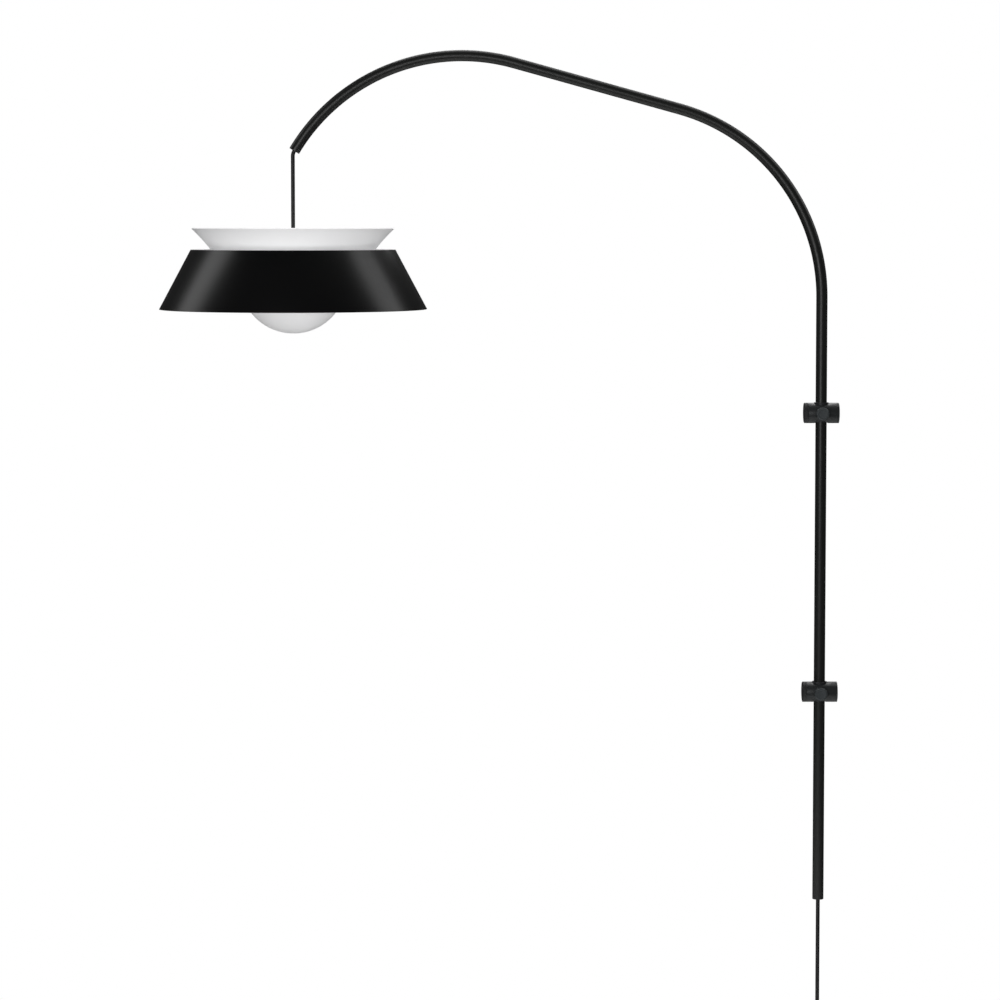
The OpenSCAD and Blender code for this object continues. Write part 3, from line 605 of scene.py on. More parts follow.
# ---------- pieces
FROM_WALL = turned(-90, "Y")
FROM_TUBE = at(tube_x) @ turned(90, "X")
HUNG = at(shade_x, 0, bowl_z)


def make(name, mesh, finishes, body, slot, *stands_for):
    """A finished piece: its object at the origin, riding on its body. A second finish goes on the faces
    that its mesh has marked with material 1."""
    piece = bpy.data.objects.new(name, mesh)
    scene.collection.objects.link(piece)
    mesh.name = name
    marked = [face.index for face in mesh.polygons if face.material_index]
    mesh.materials.clear()
    for finish in finishes if isinstance(finishes, list) else [finishes]:
        mesh.materials.append(finish)
    if len(mesh.materials) > 1:
        for index in marked:
            mesh.polygons[index].material_index = 1
    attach(piece, body)
    if stands_for:
        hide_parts(*stands_for)
    return piece


def hang(name, mesh, finishes, slot, node):
    """A piece of the shade, made with its heights over the bowl's bottom."""
    make(name, placed(mesh, HUNG), finishes, "shade", slot, node)


# The mains lead comes first.
LEAD = [(0, 0, z) for z in (-500, -515, -530, -545, -560, -575, -590, -605, -620, -635, -655)]
IN_SWITCH = [(0, 0, -672), (0, 0, -689), (0, 0, -706)]
COIL_IN = [(0, 0, -723), (0, 0, -729), (-2, 0, -738), (-6, -2, -748), (-10, -6, -758), (-12, -11, -767),
           (-12, -17, -777), (-12, -22, -786)]
TAIL = [(6, -37, -796), (5, -37, -806), (4, -36, -815), (2, -33, -825), (1, -30, -834), (0, -28, -843),
        (0, -28, -850)]
turn_gap = 5.8
turn_radii = (25.2, 31.0, 36.8)
tie_turn = 111.0
points_a_turn = 36


def eased(t):
    """From 0 to 1 with a soft start and end."""
    t = min(max(t, 0.0), 1.0)
    return t * t * (3 - 2 * t)


def coil_turns():
    """The coil's route: three layers of three turns. Each turn moves to the next place under the tie."""
    lanes = [(x * way, r) for r, way in zip(turn_radii, (1, -1, 1)) for x in (-turn_gap, 0, turn_gap)]
    entry_x, entry_turn, first, crossing = -11.0, 75.0, 180.0, 22.0
    out = []
    for k in range(len(lanes) * points_a_turn):
        angle = 360.0 * k / points_a_turn
        lane = angle / 360.0
        here = lanes[int(lane)]
        after = lanes[min(int(lane) + 1, len(lanes) - 1)]
        since = (angle % 360.0) + first - (tie_turn + 360.0 - crossing)
        t = eased(since / (2 * crossing))
        x = here[0] + (after[0] - here[0]) * t
        r = here[1] + (after[1] - here[1]) * t
        if lane < 1:
            x = x + (entry_x - x) * (1 - eased(angle / entry_turn))
        a = radians(first + angle)
        out.append((x, r * cos(a), coil_z + r * sin(a)))
    return out


def make_lead():
    """Mains lead: from the tube's foot through its switch, round the coil and into the plug."""
    inside, step = 4.0, 3.0
    route = [(0, 0, foot_z + inside), *LEAD, *IN_SWITCH, *COIL_IN, *coil_turns(), *TAIL,
             (0, plug_y, plug_z - inside)]
    path = [p + Vector((tube_x, 0, 0)) for p in smooth_curve(route, step)]
    cord = make("mains_lead", tube_along(path, cord_r, 14), JACKET, "arm", "cord_jacket",
                "lead_cord", "coil_cord", "cord_coil", "tail_cord")
    return cord, [p * MM for p in path]


lead, lead_path = make_lead()


# Hanging cord: one piece runs past the first hinge below the mouth, and the other past the second
def arm_path():
    """The axis of the bent tube, from its foot to its mouth, as (x, z) points."""
    first_turn, second_turn = 90 - rise_angle, 90 + mouth_angle
    centre = Vector((tube_x - bend_r, bend_z))
    bend_1 = arc(centre, bend_r, 0, first_turn, 48)
    along = Vector((-sin(radians(first_turn)), cos(radians(first_turn))))
    start_2 = bend_1[-1] + straight_len * along
    centre_2 = start_2 - bend_r * Vector((cos(radians(first_turn)), sin(radians(first_turn))))
    bend_2 = arc(centre_2, bend_r, first_turn, second_turn, 48)
    return [Vector((tube_x, foot_z)), *bend_1, *bend_2]


ARM_PATH = arm_path()
MOUTH = ARM_PATH[-1]


def make_hanging_cord():
    """The cord from the tube's mouth down to the lamp holder."""
    inside, bend_half, steps, lower_steps = 3.0, 6.0, 12, 60
    out_of_tube = (MOUTH - ARM_PATH[-2]).normalized()
    bend_foot = side_bend.z + 1.0
    centre = Vector((shade_x + drop_bend_r, bend_foot))
    bend = arc(centre, drop_bend_r, 180.0 - (90.0 - mouth_angle), 180.0, 8)
    split_z = (side_bend.z + front_bend.z) / 2
    upper_path = [Vector((MOUTH.x - out_of_tube.x * inside, 0, MOUTH.y - out_of_tube.y * inside))]
    upper_path += [Vector((p.x, 0, p.y)) for p in bend]
    upper_path += [Vector((shade_x, 0, bend_foot - k * (bend_foot - split_z) / steps))
                   for k in range(1, steps + 1)]
    foot = bowl_z + core_top
    lower_path = [Vector((shade_x, 0, split_z - k * (split_z - foot) / lower_steps))
                  for k in range(lower_steps + 1)]
    pieces = []
    for name, path, bodies, bend_at in (
            ("hanging_cord_upper", upper_path, ("arm", "neck"), side_bend),
            ("hanging_cord_lower", lower_path, ("neck", "shade"), front_bend)):
        piece = bpy.data.objects.new(name, tube_along(path, cord_r, 20))
        scene.collection.objects.link(piece)
        piece.data.materials.append(JACKET)
        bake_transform(piece)
        pieces.append(piece)
    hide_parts("mouth_cord", "neck_cord")
    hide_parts("drop_cord")
    return pieces, [p * MM for p in lower_path]


hanging, hanging_path = make_hanging_cord()


def make_arm():
    """The bent tube: a round skin along its axis, given its wall and a softened lip."""
    curve = bpy.data.curves.new("arm axis", "CURVE")
    curve.dimensions = "3D"
    spline = curve.splines.new("POLY")
    spline.points.add(len(ARM_PATH) - 1)
    for point, place in zip(spline.points, ARM_PATH):
        point.co = (place.x * MM, 0.0, place.y * MM, 1.0)
    skin = grown(curve, "sweep", Radius=tube_r * MM, Sides=64, Finish=TUBE_PAINT)
    wall = {"thickness": tube_wall * MM, "offset": -1.0, "use_rim": True}
    lip = {"width": 0.35 * MM, "segments": 3, "limit_method": "ANGLE", "angle_limit": radians(60)}
    face = skin.polygons[0]
    axis_point = Vector((tube_x * MM, 0.0, face.center.z))
    if (face.center - axis_point).dot(face.normal) < 0:
        skin.flip_normals()
    tube = with_modifiers(skin, ("SOLIDIFY", wall), ("BEVEL", lip), sharp=40)
    make("bent_tube", tube, TUBE_PAINT, "arm", "tube_paint", "arm_tube")


make_arm()


def make_blocks():
    """Two wall blocks, each a turned rod with the sleeve's bore across it."""
    fit, past, sink, stud_start = 0.05, 4.0, 1.0, 4.0
    outline = rounded(section(0, block_r, block_back, block_front), [0, 0.3, 0.3, 0], 3)
    seat_r = flange_r + 0.2
    seat = [(0, sleeve_seat), (seat_r, sleeve_seat), (seat_r, block_r - sink),
            (seat_r + past + sink, block_r + past), (0, block_r + past)]
    for side, z in block_z.items():
        body = placed(lathe(outline, 128), FROM_WALL)
        bore = placed(rod(sleeve_out + fit, -block_r - past / 2, block_r + past / 2, 96), at(tube_x))
        stud_hole = placed(rod(stud_r + fit, stud_start, block_r + past, 48), FROM_TUBE)
        body = softened(cut(body, bore, placed(lathe(seat, 96), at(tube_x)), stud_hole), 0.25, 2, 35)
        make(side + "_wall_block", placed(body, at(z=z)), BLOCK_METAL, "wall_fixture", "block_metal",
             side + "_block")


def make_end_caps():
    """The plug at the front of each block: a chamfered disc with a shallow ring turned into its face."""
    groove_r, groove, edge = 9.5, 0.35, 0.6
    spigot_r, spigot_len = 9.0, 3.0
    outline = [(0, block_front - spigot_len), (spigot_r, block_front - spigot_len), (spigot_r, block_front),
               (block_r, block_front), (block_r, cap_front - edge), (block_r - edge, cap_front),
               (groove_r + groove, cap_front), (groove_r, cap_front - groove),
               (groove_r - groove, cap_front), (0, cap_front)]
    radii = [0, 0.3, 0, 0.25, 0.2, 0.2, 0.1, 0.1, 0.1, 0]
    for side, z in block_z.items():
        cap = placed(lathe(rounded(outline, radii, 3), 128), at(z=z), FROM_WALL)
        make(side + "_cap", cap, CAP_PLASTIC, "wall_fixture", "cap_metal", side + "_end_cap")


def make_sleeves():
    """Split nylon sleeves, each with a flange on top of its block."""
    outline = [(sleeve_in, sleeve_foot), (sleeve_out, sleeve_foot), (sleeve_out, sleeve_seat),
               (flange_r, sleeve_seat), (flange_r, flange_top), (sleeve_in, flange_top)]
    gap = degrees(slot_w / sleeve_out)
    for side, z in block_z.items():
        sleeve = lathe(rounded(outline, [0.3, 0.3, 0.1, 0.35, 0.35, 0.35], 3), 96, gap / 2, 360 - gap)
        make(side + "_nylon_sleeve", placed(sleeve, at(tube_x, 0, z)), NYLON, "sleeves", "nylon",
             side + "_sleeve")


def make_knobs():
    """Thumb screw knobs: a chamfered disc with a fine straight knurl and a face turned slightly hollow."""
    ribs, rib_w, rib_h = 72, 0.34, 0.22
    core_r = knob_r - rib_h
    chamfer, hollow = 1.2, 0.25
    outline = [(0, knob_back), (core_r - chamfer, knob_back), (core_r, knob_back + chamfer),
               (core_r, knob_front - chamfer), (core_r - chamfer, knob_front),
               (core_r - 2.2 * chamfer, knob_front), (core_r - 2.6 * chamfer, knob_front - hollow),
               (0, knob_front - hollow)]
    for side, z in block_z.items():
        disc = lathe(rounded(outline, [0, 0.3, 0.3, 0.3, 0.3, 0.15, 0.15, 0], 3), 96)
        rib = slab(2 * rib_h, rib_w, 0.15, [(knob_back + chamfer, 0), (knob_front - chamfer, 0)], 3)
        knurl = around(placed(rib, at(core_r)), ribs, KNOB_METAL)
        make(side + "_thumb_knob", placed(joined(disc, knurl), at(z=z), FROM_TUBE), KNOB_METAL,
             side + "_knob", "block_metal", side + "_knob")


def thread(radius, start, end, pitch, depth):
    """An outline's points along whole turns of thread, from start and short of end."""
    points = [(radius - depth, start)]
    while start + pitch < end:
        points += [(radius, start + pitch / 2), (radius - depth, start + pitch)]
        start += pitch
    return points


def make_studs():
    """Threaded studs of the thumb screws, with thread rings where they show."""
    pitch, depth = 1.0, 0.35
    for side, z in block_z.items():
        inner = -high(side + "_stud").y
        outer = -low(side + "_stud").y
        outline = [(0, inner), *thread(stud_r, inner, outer, pitch, depth), (stud_r - depth, outer),
                   (0, outer)]
        make(side + "_threaded_stud", placed(lathe(outline, 48), at(z=z), FROM_TUBE), ZINC,
             side + "_knob", "steel", side + "_stud")


make_blocks()
make_end_caps()
make_sleeves()
make_knobs()
make_studs()


# ---------- bowl and ring
flare_foot = Vector((rim_r - flare.x, bowl_h - flare.y))
to_dome = Vector((flare_foot.x, flare_foot.y - dome_r))
wall_angle = 90 - degrees(atan2(to_dome.y, to_dome.x) + asin(dome_r / to_dome.length))
flare_lean = degrees(atan2(flare.x, flare.y))
rim_angle = 2 * flare_lean - wall_angle
flare_r = flare.length / (2 * sin(radians(flare_lean - wall_angle)))
ring_slope = ring_spread / (ring_top - ring_rise)
ring_lean = degrees(atan(ring_slope))
# A sheet's thickness measured level, across the bowl's sloping wall and the ring's
bowl_wall_in = shade_wall / cos(radians(wall_angle))
ring_wall_in = shade_wall / cos(radians(ring_lean))
strap_on_bowl = strap_t / cos(radians(wall_angle))
strap_on_ring = strap_t / cos(radians(ring_lean))


def bowl_r(z):
    """Radius of the bowl's straight wall, outside."""
    return flare_foot.x - (flare_foot.y - z) * tan(radians(wall_angle))


def ring_r(z):
    """Radius of the ring's outside."""
    return ring_foot_r - (z - ring_rise) * ring_slope


def bowl_side(inset):
    """The bowl's profile from its bottom to its rim, as a dome and a flare with a straight wall between."""
    dome = arc((0, dome_r), dome_r - inset, -90, -wall_angle, 20)
    dome[0].x = 0.0
    centre = flare_foot + flare_r * Vector((cos(radians(wall_angle)), -sin(radians(wall_angle))))
    return dome, arc(centre, flare_r + inset, 180 - wall_angle, 180 - rim_angle, 14)


def make_bowl():
    """The white bowl: one spun shell with a round lip."""
    dome, bend = bowl_side(0)
    dome_in, bend_in = bowl_side(shade_wall)
    centre = (bend[-1] + bend_in[-1]) / 2
    start = degrees(atan2(*reversed(bend[-1] - centre)))
    lip = [p for p in arc(centre, shade_wall / 2, start, start + 180, 6) if p.y <= bowl_h]
    outline = dome + bend + lip[1:-1] + bend_in[::-1] + dome_in[::-1]
    hang("white_bowl", lathe(outline, 192, sharp=40), WHITE_PAINT, "white_paint", "bowl")


def make_ring():
    """The black ring: a spun cone, black outside and white inside, with both edges rounded."""
    foot_r, top_r = ring_r(ring_rise), ring_r(ring_top)
    corners = [(foot_r, ring_rise), (top_r, ring_top), (top_r - ring_wall_in, ring_top),
               (foot_r - ring_wall_in, ring_rise)]
    ring = lathe(rounded(corners, 0.5, 4), 192, sharp=50)
    for face in ring.polygons:
        if face.normal.dot(Vector((face.center.x, face.center.y, 0))) < 0:
            face.material_index = 1
    hang("conical_ring", ring, [RING_PAINT, WHITE_PAINT], "ring_paint", "shade_ring")


def make_struts():
    """Three bent sheet brackets between the bowl's wall and the ring's."""
    top, web = strut_z + strut_h, strut_z + strap_t
    corners = [(bowl_r(strut_z), strut_z), (bowl_r(top), top), (bowl_r(top) + strap_on_bowl, top),
               (bowl_r(web) + strap_on_bowl, web), (ring_r(web) - ring_wall_in - strap_on_ring, web),
               (ring_r(top) - ring_wall_in - strap_on_ring, top), (ring_r(top) - ring_wall_in, top),
               (ring_r(strut_z) - ring_wall_in, strut_z)]
    outline = rounded(corners, [2.4, 0.3, 0.3, 0.8, 0.8, 0.3, 0.3, 2.4], 5)
    bracket = lathe(outline, 12, -strut_angle / 2, strut_angle)
    brackets = around(softened(bracket, 0.3, 2, 60), arm_count, WHITE_PAINT, first_arm)
    hang("ring_brackets", brackets, WHITE_PAINT, "white_paint", "struts")


def make_carrier():
    """The carrier: a flat hub on the lamp holder and three bent arms out to the bowl's wall."""
    bore_r, hub_r, arm_w, lap = holder_r + 0.2, holder_r + 8.0, 12.0, 4.0
    hub_top = nut_top + strap_t
    foot, head = strut_z + strap_t, strut_z + strut_h
    hub = lathe(rounded(section(bore_r, hub_r, nut_top, hub_top), 0.4, 3), 96)
    end_r = bowl_r(foot) - bowl_wall_in - strap_t / 2
    side = rounded([(hub_r - lap, nut_top), (hub_r, nut_top), (end_r, foot), (end_r, foot + strap_t),
                    (hub_r, hub_top), (hub_r - lap, hub_top)], [0, 3, 0, 0, 3, 0], 4)
    strip = loft([[(p.x, y, p.y) for p in side] for y in (-arm_w / 2, arm_w / 2)])
    foot_r, head_r = bowl_r(foot) - bowl_wall_in, bowl_r(head) - bowl_wall_in
    tip = lathe(rounded([(foot_r, foot), (head_r, head), (head_r - strap_on_bowl, head),
                         (foot_r - strap_on_bowl, foot)], 0.3, 3), 10, -strut_angle / 2, strut_angle)
    arms = around(joined(softened(strip, 0.4, 2, 60), tip), arm_count, WHITE_PAINT, first_arm)
    hang("lamp_carrier", joined(hub, arms), WHITE_PAINT, "white_paint", "carrier")


def threaded(radius, z0, z1, pitch, depth, steps=32):
    """A rod with thread rings and a chamfered end at z0."""
    outline = [(0, z0), (radius - 2 * depth, z0), *thread(radius, z0 + depth, z1, pitch, depth),
               (radius - depth, z1), (0, z1)]
    return lathe(outline, steps, sharp=20)


def pan_head(radius, height):
    """A screw's pan head with a cross recess, on z 0."""
    slot, deep, soft = 0.8, 1.4, 1.6
    profile = [(0, 0), (radius, 0), *arc((radius - 1.4, height - 1.8), soft, 0, 60, 5), (1.2, height),
               (0, height)]
    head = lathe(rounded(profile, [0, 0.3] + [0] * (len(profile) - 2), 3), 48)
    arms = [slab(w, h, 0.15, [(height - deep, 0.2), (height + 1.0, -0.12)], 2) for w, h in
            ((radius * 1.15, slot), (slot, radius * 1.15))]
    return cut(head, *arms)


def hex_nut(radius, height):
    """A hexagon nut on z 0, with its corners turned off."""
    over, chamfer_w, chamfer_h = 0.05, 0.55, 0.35
    prism = lathe(section(0, radius, 0, height), 6, sharp=20)
    turned_off = lathe([(0, -0.01), (radius - chamfer_w, -0.01), (radius + over, chamfer_h),
                        (radius + over, height - chamfer_h), (radius - chamfer_w, height + 0.01),
                        (0, height + 0.01)], 48)
    return cut(prism, turned_off, way="INTERSECT")


def make_strut_fixings():
    """Screws and nuts that hold the brackets and the carrier to the bowl, and studs and nuts at the ring."""
    fix_z = strut_z + (strut_h + strap_t) / 2
    nut_r, nut_h = 1.01 * 2 * screw_r, 1.6 * screw_r
    pitch, depth, thread_out, stud_len = 0.7, 0.2, 1.5, 8.2
    bowl_side_at = at(bowl_r(fix_z), 0, fix_z) @ turned(90 + wall_angle, "Y")
    ring_side_at = at(ring_r(fix_z), 0, fix_z) @ turned(-90 - ring_lean, "Y")
    nut_z = shade_wall + strap_t + 0.1
    head = placed(pan_head(2 * screw_r, 2.6), at(z=strap_t))
    shank = threaded(screw_r, -nut_z - nut_h - thread_out, strap_t + 0.5, pitch, depth)
    stud = placed(threaded(screw_r, 0, stud_len, pitch, depth), turned(180, "X"),
                  at(z=-stud_len - thread_out))
    parts = {
        "bracket_screws": (joined(head, shank), bowl_side_at, "strut_screws"),
        "bracket_nuts": (placed(hex_nut(nut_r, nut_h), at(z=-nut_z - nut_h)), bowl_side_at, "strut_nuts"),
        "welded_studs": (stud, ring_side_at, "ring_studs"),
        "stud_nuts": (placed(hex_nut(nut_r, nut_h), at(z=nut_z)), ring_side_at, "ring_nuts"),
    }
    for name, (mesh, where, node) in parts.items():
        hang(name, around(placed(mesh, where), arm_count, ZINC, first_arm), ZINC, "steel", node)


make_bowl()
make_ring()
make_struts()
make_carrier()
make_strut_fixings()


# ---------- lamp holder and bulb
def ribs_round(radius, count, depth, width, corner, levels, steps=3):
    """Upright moulded ribs in a ring."""
    return around(placed(slab(depth, width, corner, levels, steps), at(radius)), count, BLACK_PLASTIC)


def make_cord_grip():
    """The cord grip on top of the holder: a fluted nut with a round top, on a threaded nipple."""
    core_r, shoulder = grip_r - 0.3, grip_top - 3
    outline = rounded([(cord_r, cap_top), (core_r, cap_top), (core_r, shoulder), (grip_r - 2.4, grip_top),
                       (cord_r, grip_top)], [0, 0.4, 1.5, 1.2, 0.5], 4)
    ribs = ribs_round(grip_r - 0.35, 20, 0.6, 0.9, 0.25, [(cap_top + 0.6, 0), (shoulder - 0.4, 0)])
    nipple = threaded(nipple_r, nipple_foot, cap_top, 1.0, 0.3, 40)
    hang("fluted_cord_grip", joined(lathe(outline, 64), ribs, nipple), BLACK_PLASTIC, "black_plastic",
         "cord_grip")


def make_holder_cap():
    """The holder's cap: a moulded shell with a sloping shoulder and a ribbed grip."""
    out_r, in_r, slope_w, slope_h = holder_r - 0.3, holder_r - holder_wall, 5.0, 6.0
    cap = rounded([(nipple_r, cap_top), (holder_r - slope_w, cap_top), (out_r, cap_top - slope_h),
                   (out_r, cap_foot), (in_r, cap_foot), (in_r, cap_top - slope_h - 1),
                   (holder_r - slope_w - 0.9, cap_top - holder_wall), (nipple_r, cap_top - holder_wall)],
                  [0.2, 2.5, 2.5, 0.4, 0.2, 1.5, 1.5, 0.2], 4)
    ribs = ribs_round(holder_r - 0.35, 40, 0.6, 1.1, 0.25, [(cap_foot + 1, 0), (cap_top - slope_h - 1.5, 0)])
    hang("ribbed_holder_cap", joined(lathe(cap, 96), ribs), BLACK_PLASTIC, "black_plastic", "holder_cap")


def make_holder_body():
    """The holder's body: a shell with a coarse thread for the ring nut and a shoulder over it."""
    shoulder_r, in_r, bevel, lap = holder_r + 3.0, holder_r - 3.0, 0.4, 8.0
    pitch, depth, thread_top = 2.5, 0.5, shoulder_z - 2.0
    turns = int((thread_top - body_foot - 2.0) / pitch)
    collar_r, collar_foot = holder_r - holder_wall, cap_foot - 0.3
    outline = [(in_r, body_foot), (holder_r - 0.8, body_foot), (holder_r - depth, body_foot + 1),
               *thread(holder_r, thread_top - turns * pitch, thread_top + 0.1, pitch, depth),
               (shoulder_r - bevel, thread_top), (shoulder_r, thread_top + bevel),
               (shoulder_r, shoulder_z - bevel), (shoulder_r - bevel, shoulder_z), (holder_r, shoulder_z),
               (holder_r, collar_foot), (collar_r, collar_foot), (collar_r, cap_foot + lap),
               (in_r, cap_foot + lap)]
    hang("threaded_holder_body", lathe(outline, 96, sharp=25), BLACK_PLASTIC, "black_plastic", "holder_body")


def make_ring_nut():
    """The nut that clamps the carrier: a flat ring with a scalloped grip."""
    core_r = nut_out - 1.0
    outline = rounded(section(holder_r, core_r, nut_foot, nut_top), [0.2, 1.2, 0.5, 0.2], 4)
    ribs = ribs_round(core_r, 28, 2.0, 2.4, 0.9, domed_levels(nut_foot + 0.8, nut_top - 0.6, 0.4, 0.4, 2), 4)
    hang("scalloped_ring_nut", joined(lathe(outline, 112), ribs), BLACK_PLASTIC, "black_plastic", "ring_nut")


def make_globe():
    """The opal globe: a ball that narrows to its neck."""
    leave_angle, neck_round, foot_round = 30, 14, 0.8
    globe = arc((0, bulb_low + bulb_r), bulb_r, -90, leave_angle, 30)
    globe[0].x = 0.0
    leave = globe[-1]
    neck_z = leave.y + (leave.x - bulb_neck_r) / tan(radians(leave_angle))
    corners = [leave, (bulb_neck_r, neck_z), (bulb_neck_r, bulb_high), (0, bulb_high)]
    outline = globe + rounded(corners, [0, neck_round, foot_round, 0], 8)[1:]
    hang("opal_globe", lathe(outline, 128, sharp=60), OPAL_GLASS, "opal_glass", "bulb_globe")


def make_screw_base():
    """The bulb's screw base, with a rolled thread and a sloping end."""
    pitch, depth, samples, shell_r = 3.6, 0.9, 8, 15.0
    cone_z, place = base_high - 2.5, bulb_high + 1.5
    shell = [(0, base_low), (shell_r, base_low), (shell_r, bulb_high - 0.4),
             (base_r - depth, bulb_high + 1.0)]
    while place + pitch < cone_z:
        shell += [(base_r - depth / 2 * (1 + cos(2 * pi * k / samples)), place + pitch * k / samples)
                  for k in range(samples)]
        place += pitch
    shell += [(base_r - depth, place), (base_r - depth, cone_z - 0.3), (base_r - 1.6, cone_z),
              (6.0, base_high), (0, base_high)]
    hang("screw_base", lathe(shell, 96, sharp=40), SHELL_METAL, "shell_metal", "bulb_base")


make_cord_grip()
make_holder_cap()
make_holder_body()
make_ring_nut()
make_globe()
make_screw_base()


# ---------- cord switch
AT_SWITCH = at(tube_x, 0, switch_z)
FACE_ON = turned(90, "X")
switch_len = switch_top - switch_foot
switch_half = switch_t / 2
case_wall = 1.6
rocker_r = 9.3
screw_at = (switch_w / 2 - 5.0, switch_len / 2 - 9.0)
screw_sink = 1.6


def make_switch_case():
    """The switch's case: two softly rounded halves with a groove between, and a window for the rocker."""
    seam, case_round, gap, rib_count, rib_step, rib_inset = 0.25, 3.2, 0.3, 5, 1.9, 13
    well_r, through = 2.4, 2
    # Local z is the way out of the half: -Y on the cover, +Y on the back
    outer = [(0, seam), (seam, 0), *domed_levels(seam, switch_half, 0, case_round, 6)[1:]]
    cavity = slab(switch_w - 2 * case_wall, switch_len - 2 * case_wall, switch_corner - case_wall,
                  [(-1, 0), (switch_half - case_wall, 0)])
    bore = placed(rod(cord_r, -switch_len, switch_len, 32), turned(90, "X"))
    cover = slab(switch_w, switch_len, switch_corner, outer, 10)
    opening = slab(rocker_w + 2 * gap, 2 * (rocker_r + 1.4 * gap), 0.6,
                   [(-through, 0), (switch_half + through, 0)])
    cover = cut(cover, cavity, opening, bore)
    rib = slab(0.7, 9.0, 0.3, domed_levels(switch_half - 0.4, switch_half + 0.02, 0, 0.2, 2), 3)
    for way in (-1, 1):
        ribs = in_row(rib.copy(), rib_count, (rib_step, 0, 0), BLACK_PLASTIC)
        cover = joined(cover, placed(ribs, at(0, way * (switch_len / 2 - rib_inset), 0)))
    make("switch_front_half", placed(softened(cover, 0.15, 1, 50), AT_SWITCH, FACE_ON), BLACK_PLASTIC, "arm",
         "black_plastic", "switch_cover")
    back = slab(switch_w, switch_len, switch_corner, outer, 10)
    wells = [placed(rod(well_r, switch_half - screw_sink, switch_half + 1, 32),
                    at(screw_at[0], way * screw_at[1])) for way in (-1, 1)]
    back = cut(back, cavity, bore, *wells)
    make("switch_back_half", placed(softened(back, 0.15, 1, 50), AT_SWITCH, turned(180, "Z"), FACE_ON),
         BLACK_PLASTIC, "arm", "black_plastic", "switch_back")


def make_rocker():
    """The rocker: it dips in the middle and has three grip ribs at each end."""
    back, dip, end_face, steps = 1.5, 3.8, 5.1, 8
    rib_sink, rib_out, rib_tip, rib_step, pin_out = 0.62, 5.8, 14, 1.3, 1.2
    end_z = sqrt(rocker_r ** 2 - end_face ** 2)
    back_z = sqrt(rocker_r ** 2 - back ** 2)
    heights = [end_z * (k / steps - 1) for k in range(2 * steps + 1)]
    face = [Vector((-dip - (end_face - dip) * (z / end_z) ** 2, z)) for z in heights]
    outline = [Vector((back, -back_z)), *face, Vector((back, back_z))]
    body = loft([[(x, p.x, p.y) for p in outline] for x in (-rocker_w / 2, rocker_w / 2)], 40)
    body = softened(body, 0.5, 3, 50)
    rib = placed(slab(rocker_w - 2.4, 0.55, 0.25, domed_levels(-0.1, 0.25, 0, 0.2, 2), 3), turned(90, "X"))
    ribs = [placed(in_row(rib.copy(), 3, (0, 0, rib_step), BLACK_PLASTIC),
                   at(0, -end_face + rib_sink, way * rib_out), turned(way * rib_tip, "X")) for way in (-1, 1)]
    pin = placed(rod(1.0, -rocker_w / 2 - pin_out, rocker_w / 2 + pin_out, 24), turned(90, "Y"))
    rocker = joined(body, pin, *ribs)
    make("rocker_key", placed(rocker, at(*pivot), turned(rocker_tip, "X")), BLACK_PLASTIC, "rocker",
         "black_plastic", "switch_rocker")


def make_case_screws():
    """Two screws sunk into the back of the case."""
    head = placed(pan_head(2.1, 1.3), at(z=switch_half - screw_sink))
    screw = joined(head, rod(1.2, -switch_half + 2 * case_wall, switch_half - screw_sink + 0.1, 24))
    row = in_row(placed(screw, at(screw_at[0])), 2, (0, 2 * screw_at[1], 0), ZINC)
    make("case_screws", placed(row, AT_SWITCH, turned(180, "Z"), FACE_ON), ZINC, "arm", "steel",
         "switch_screws")


make_switch_case()
make_rocker()
make_case_screws()


# ---------- tie and plug
def make_tie():
    """The hook-and-loop strap round the coil and the lead beside it, with its free end laid over."""
    coil_r, width, thick, angle, frayed = 31.0, 12.0, 1.2, 21.0, 0.3
    rear, front, height = 9.5, 15.1, 19.0
    centre, half = (rear - front) / 2, width / 2
    rings = []
    for y, inset in ((-half, frayed), (-half + 0.4, 0), (half - 0.4, 0), (half, frayed)):
        outer = round_rect(rear + front + 2 * thick - 2 * inset, height + 2 * thick - 2 * inset, 4.0, 8)
        rings.append([(p.x + centre, y, p.y) for p in outer])
    inner = [[(p.x + centre, y, p.y) for p in round_rect(rear + front, height, 2.8, 8)]
             for y in (half, -half)]
    band = grid(rings + inner, True, False, 50)
    flap_len, flap_x, flap_top = 11.0, front - 8.5, height / 2 + thick
    flap = slab(flap_len, width - 1.0, 3.0, domed_levels(flap_top - 0.3, flap_top + 1.1, 0, 0.4, 3), 6)
    strap = joined(band, placed(flap, at(-flap_x, 0, 0)))
    make("hook_and_loop_tie", placed(strap, at(tube_x, 0, coil_z), turned(angle, "X"), at(z=coil_r)), STRAP,
         "arm", "strap", "coil_tie")


AT_PLUG = at(tube_x, plug_y, plug_z)


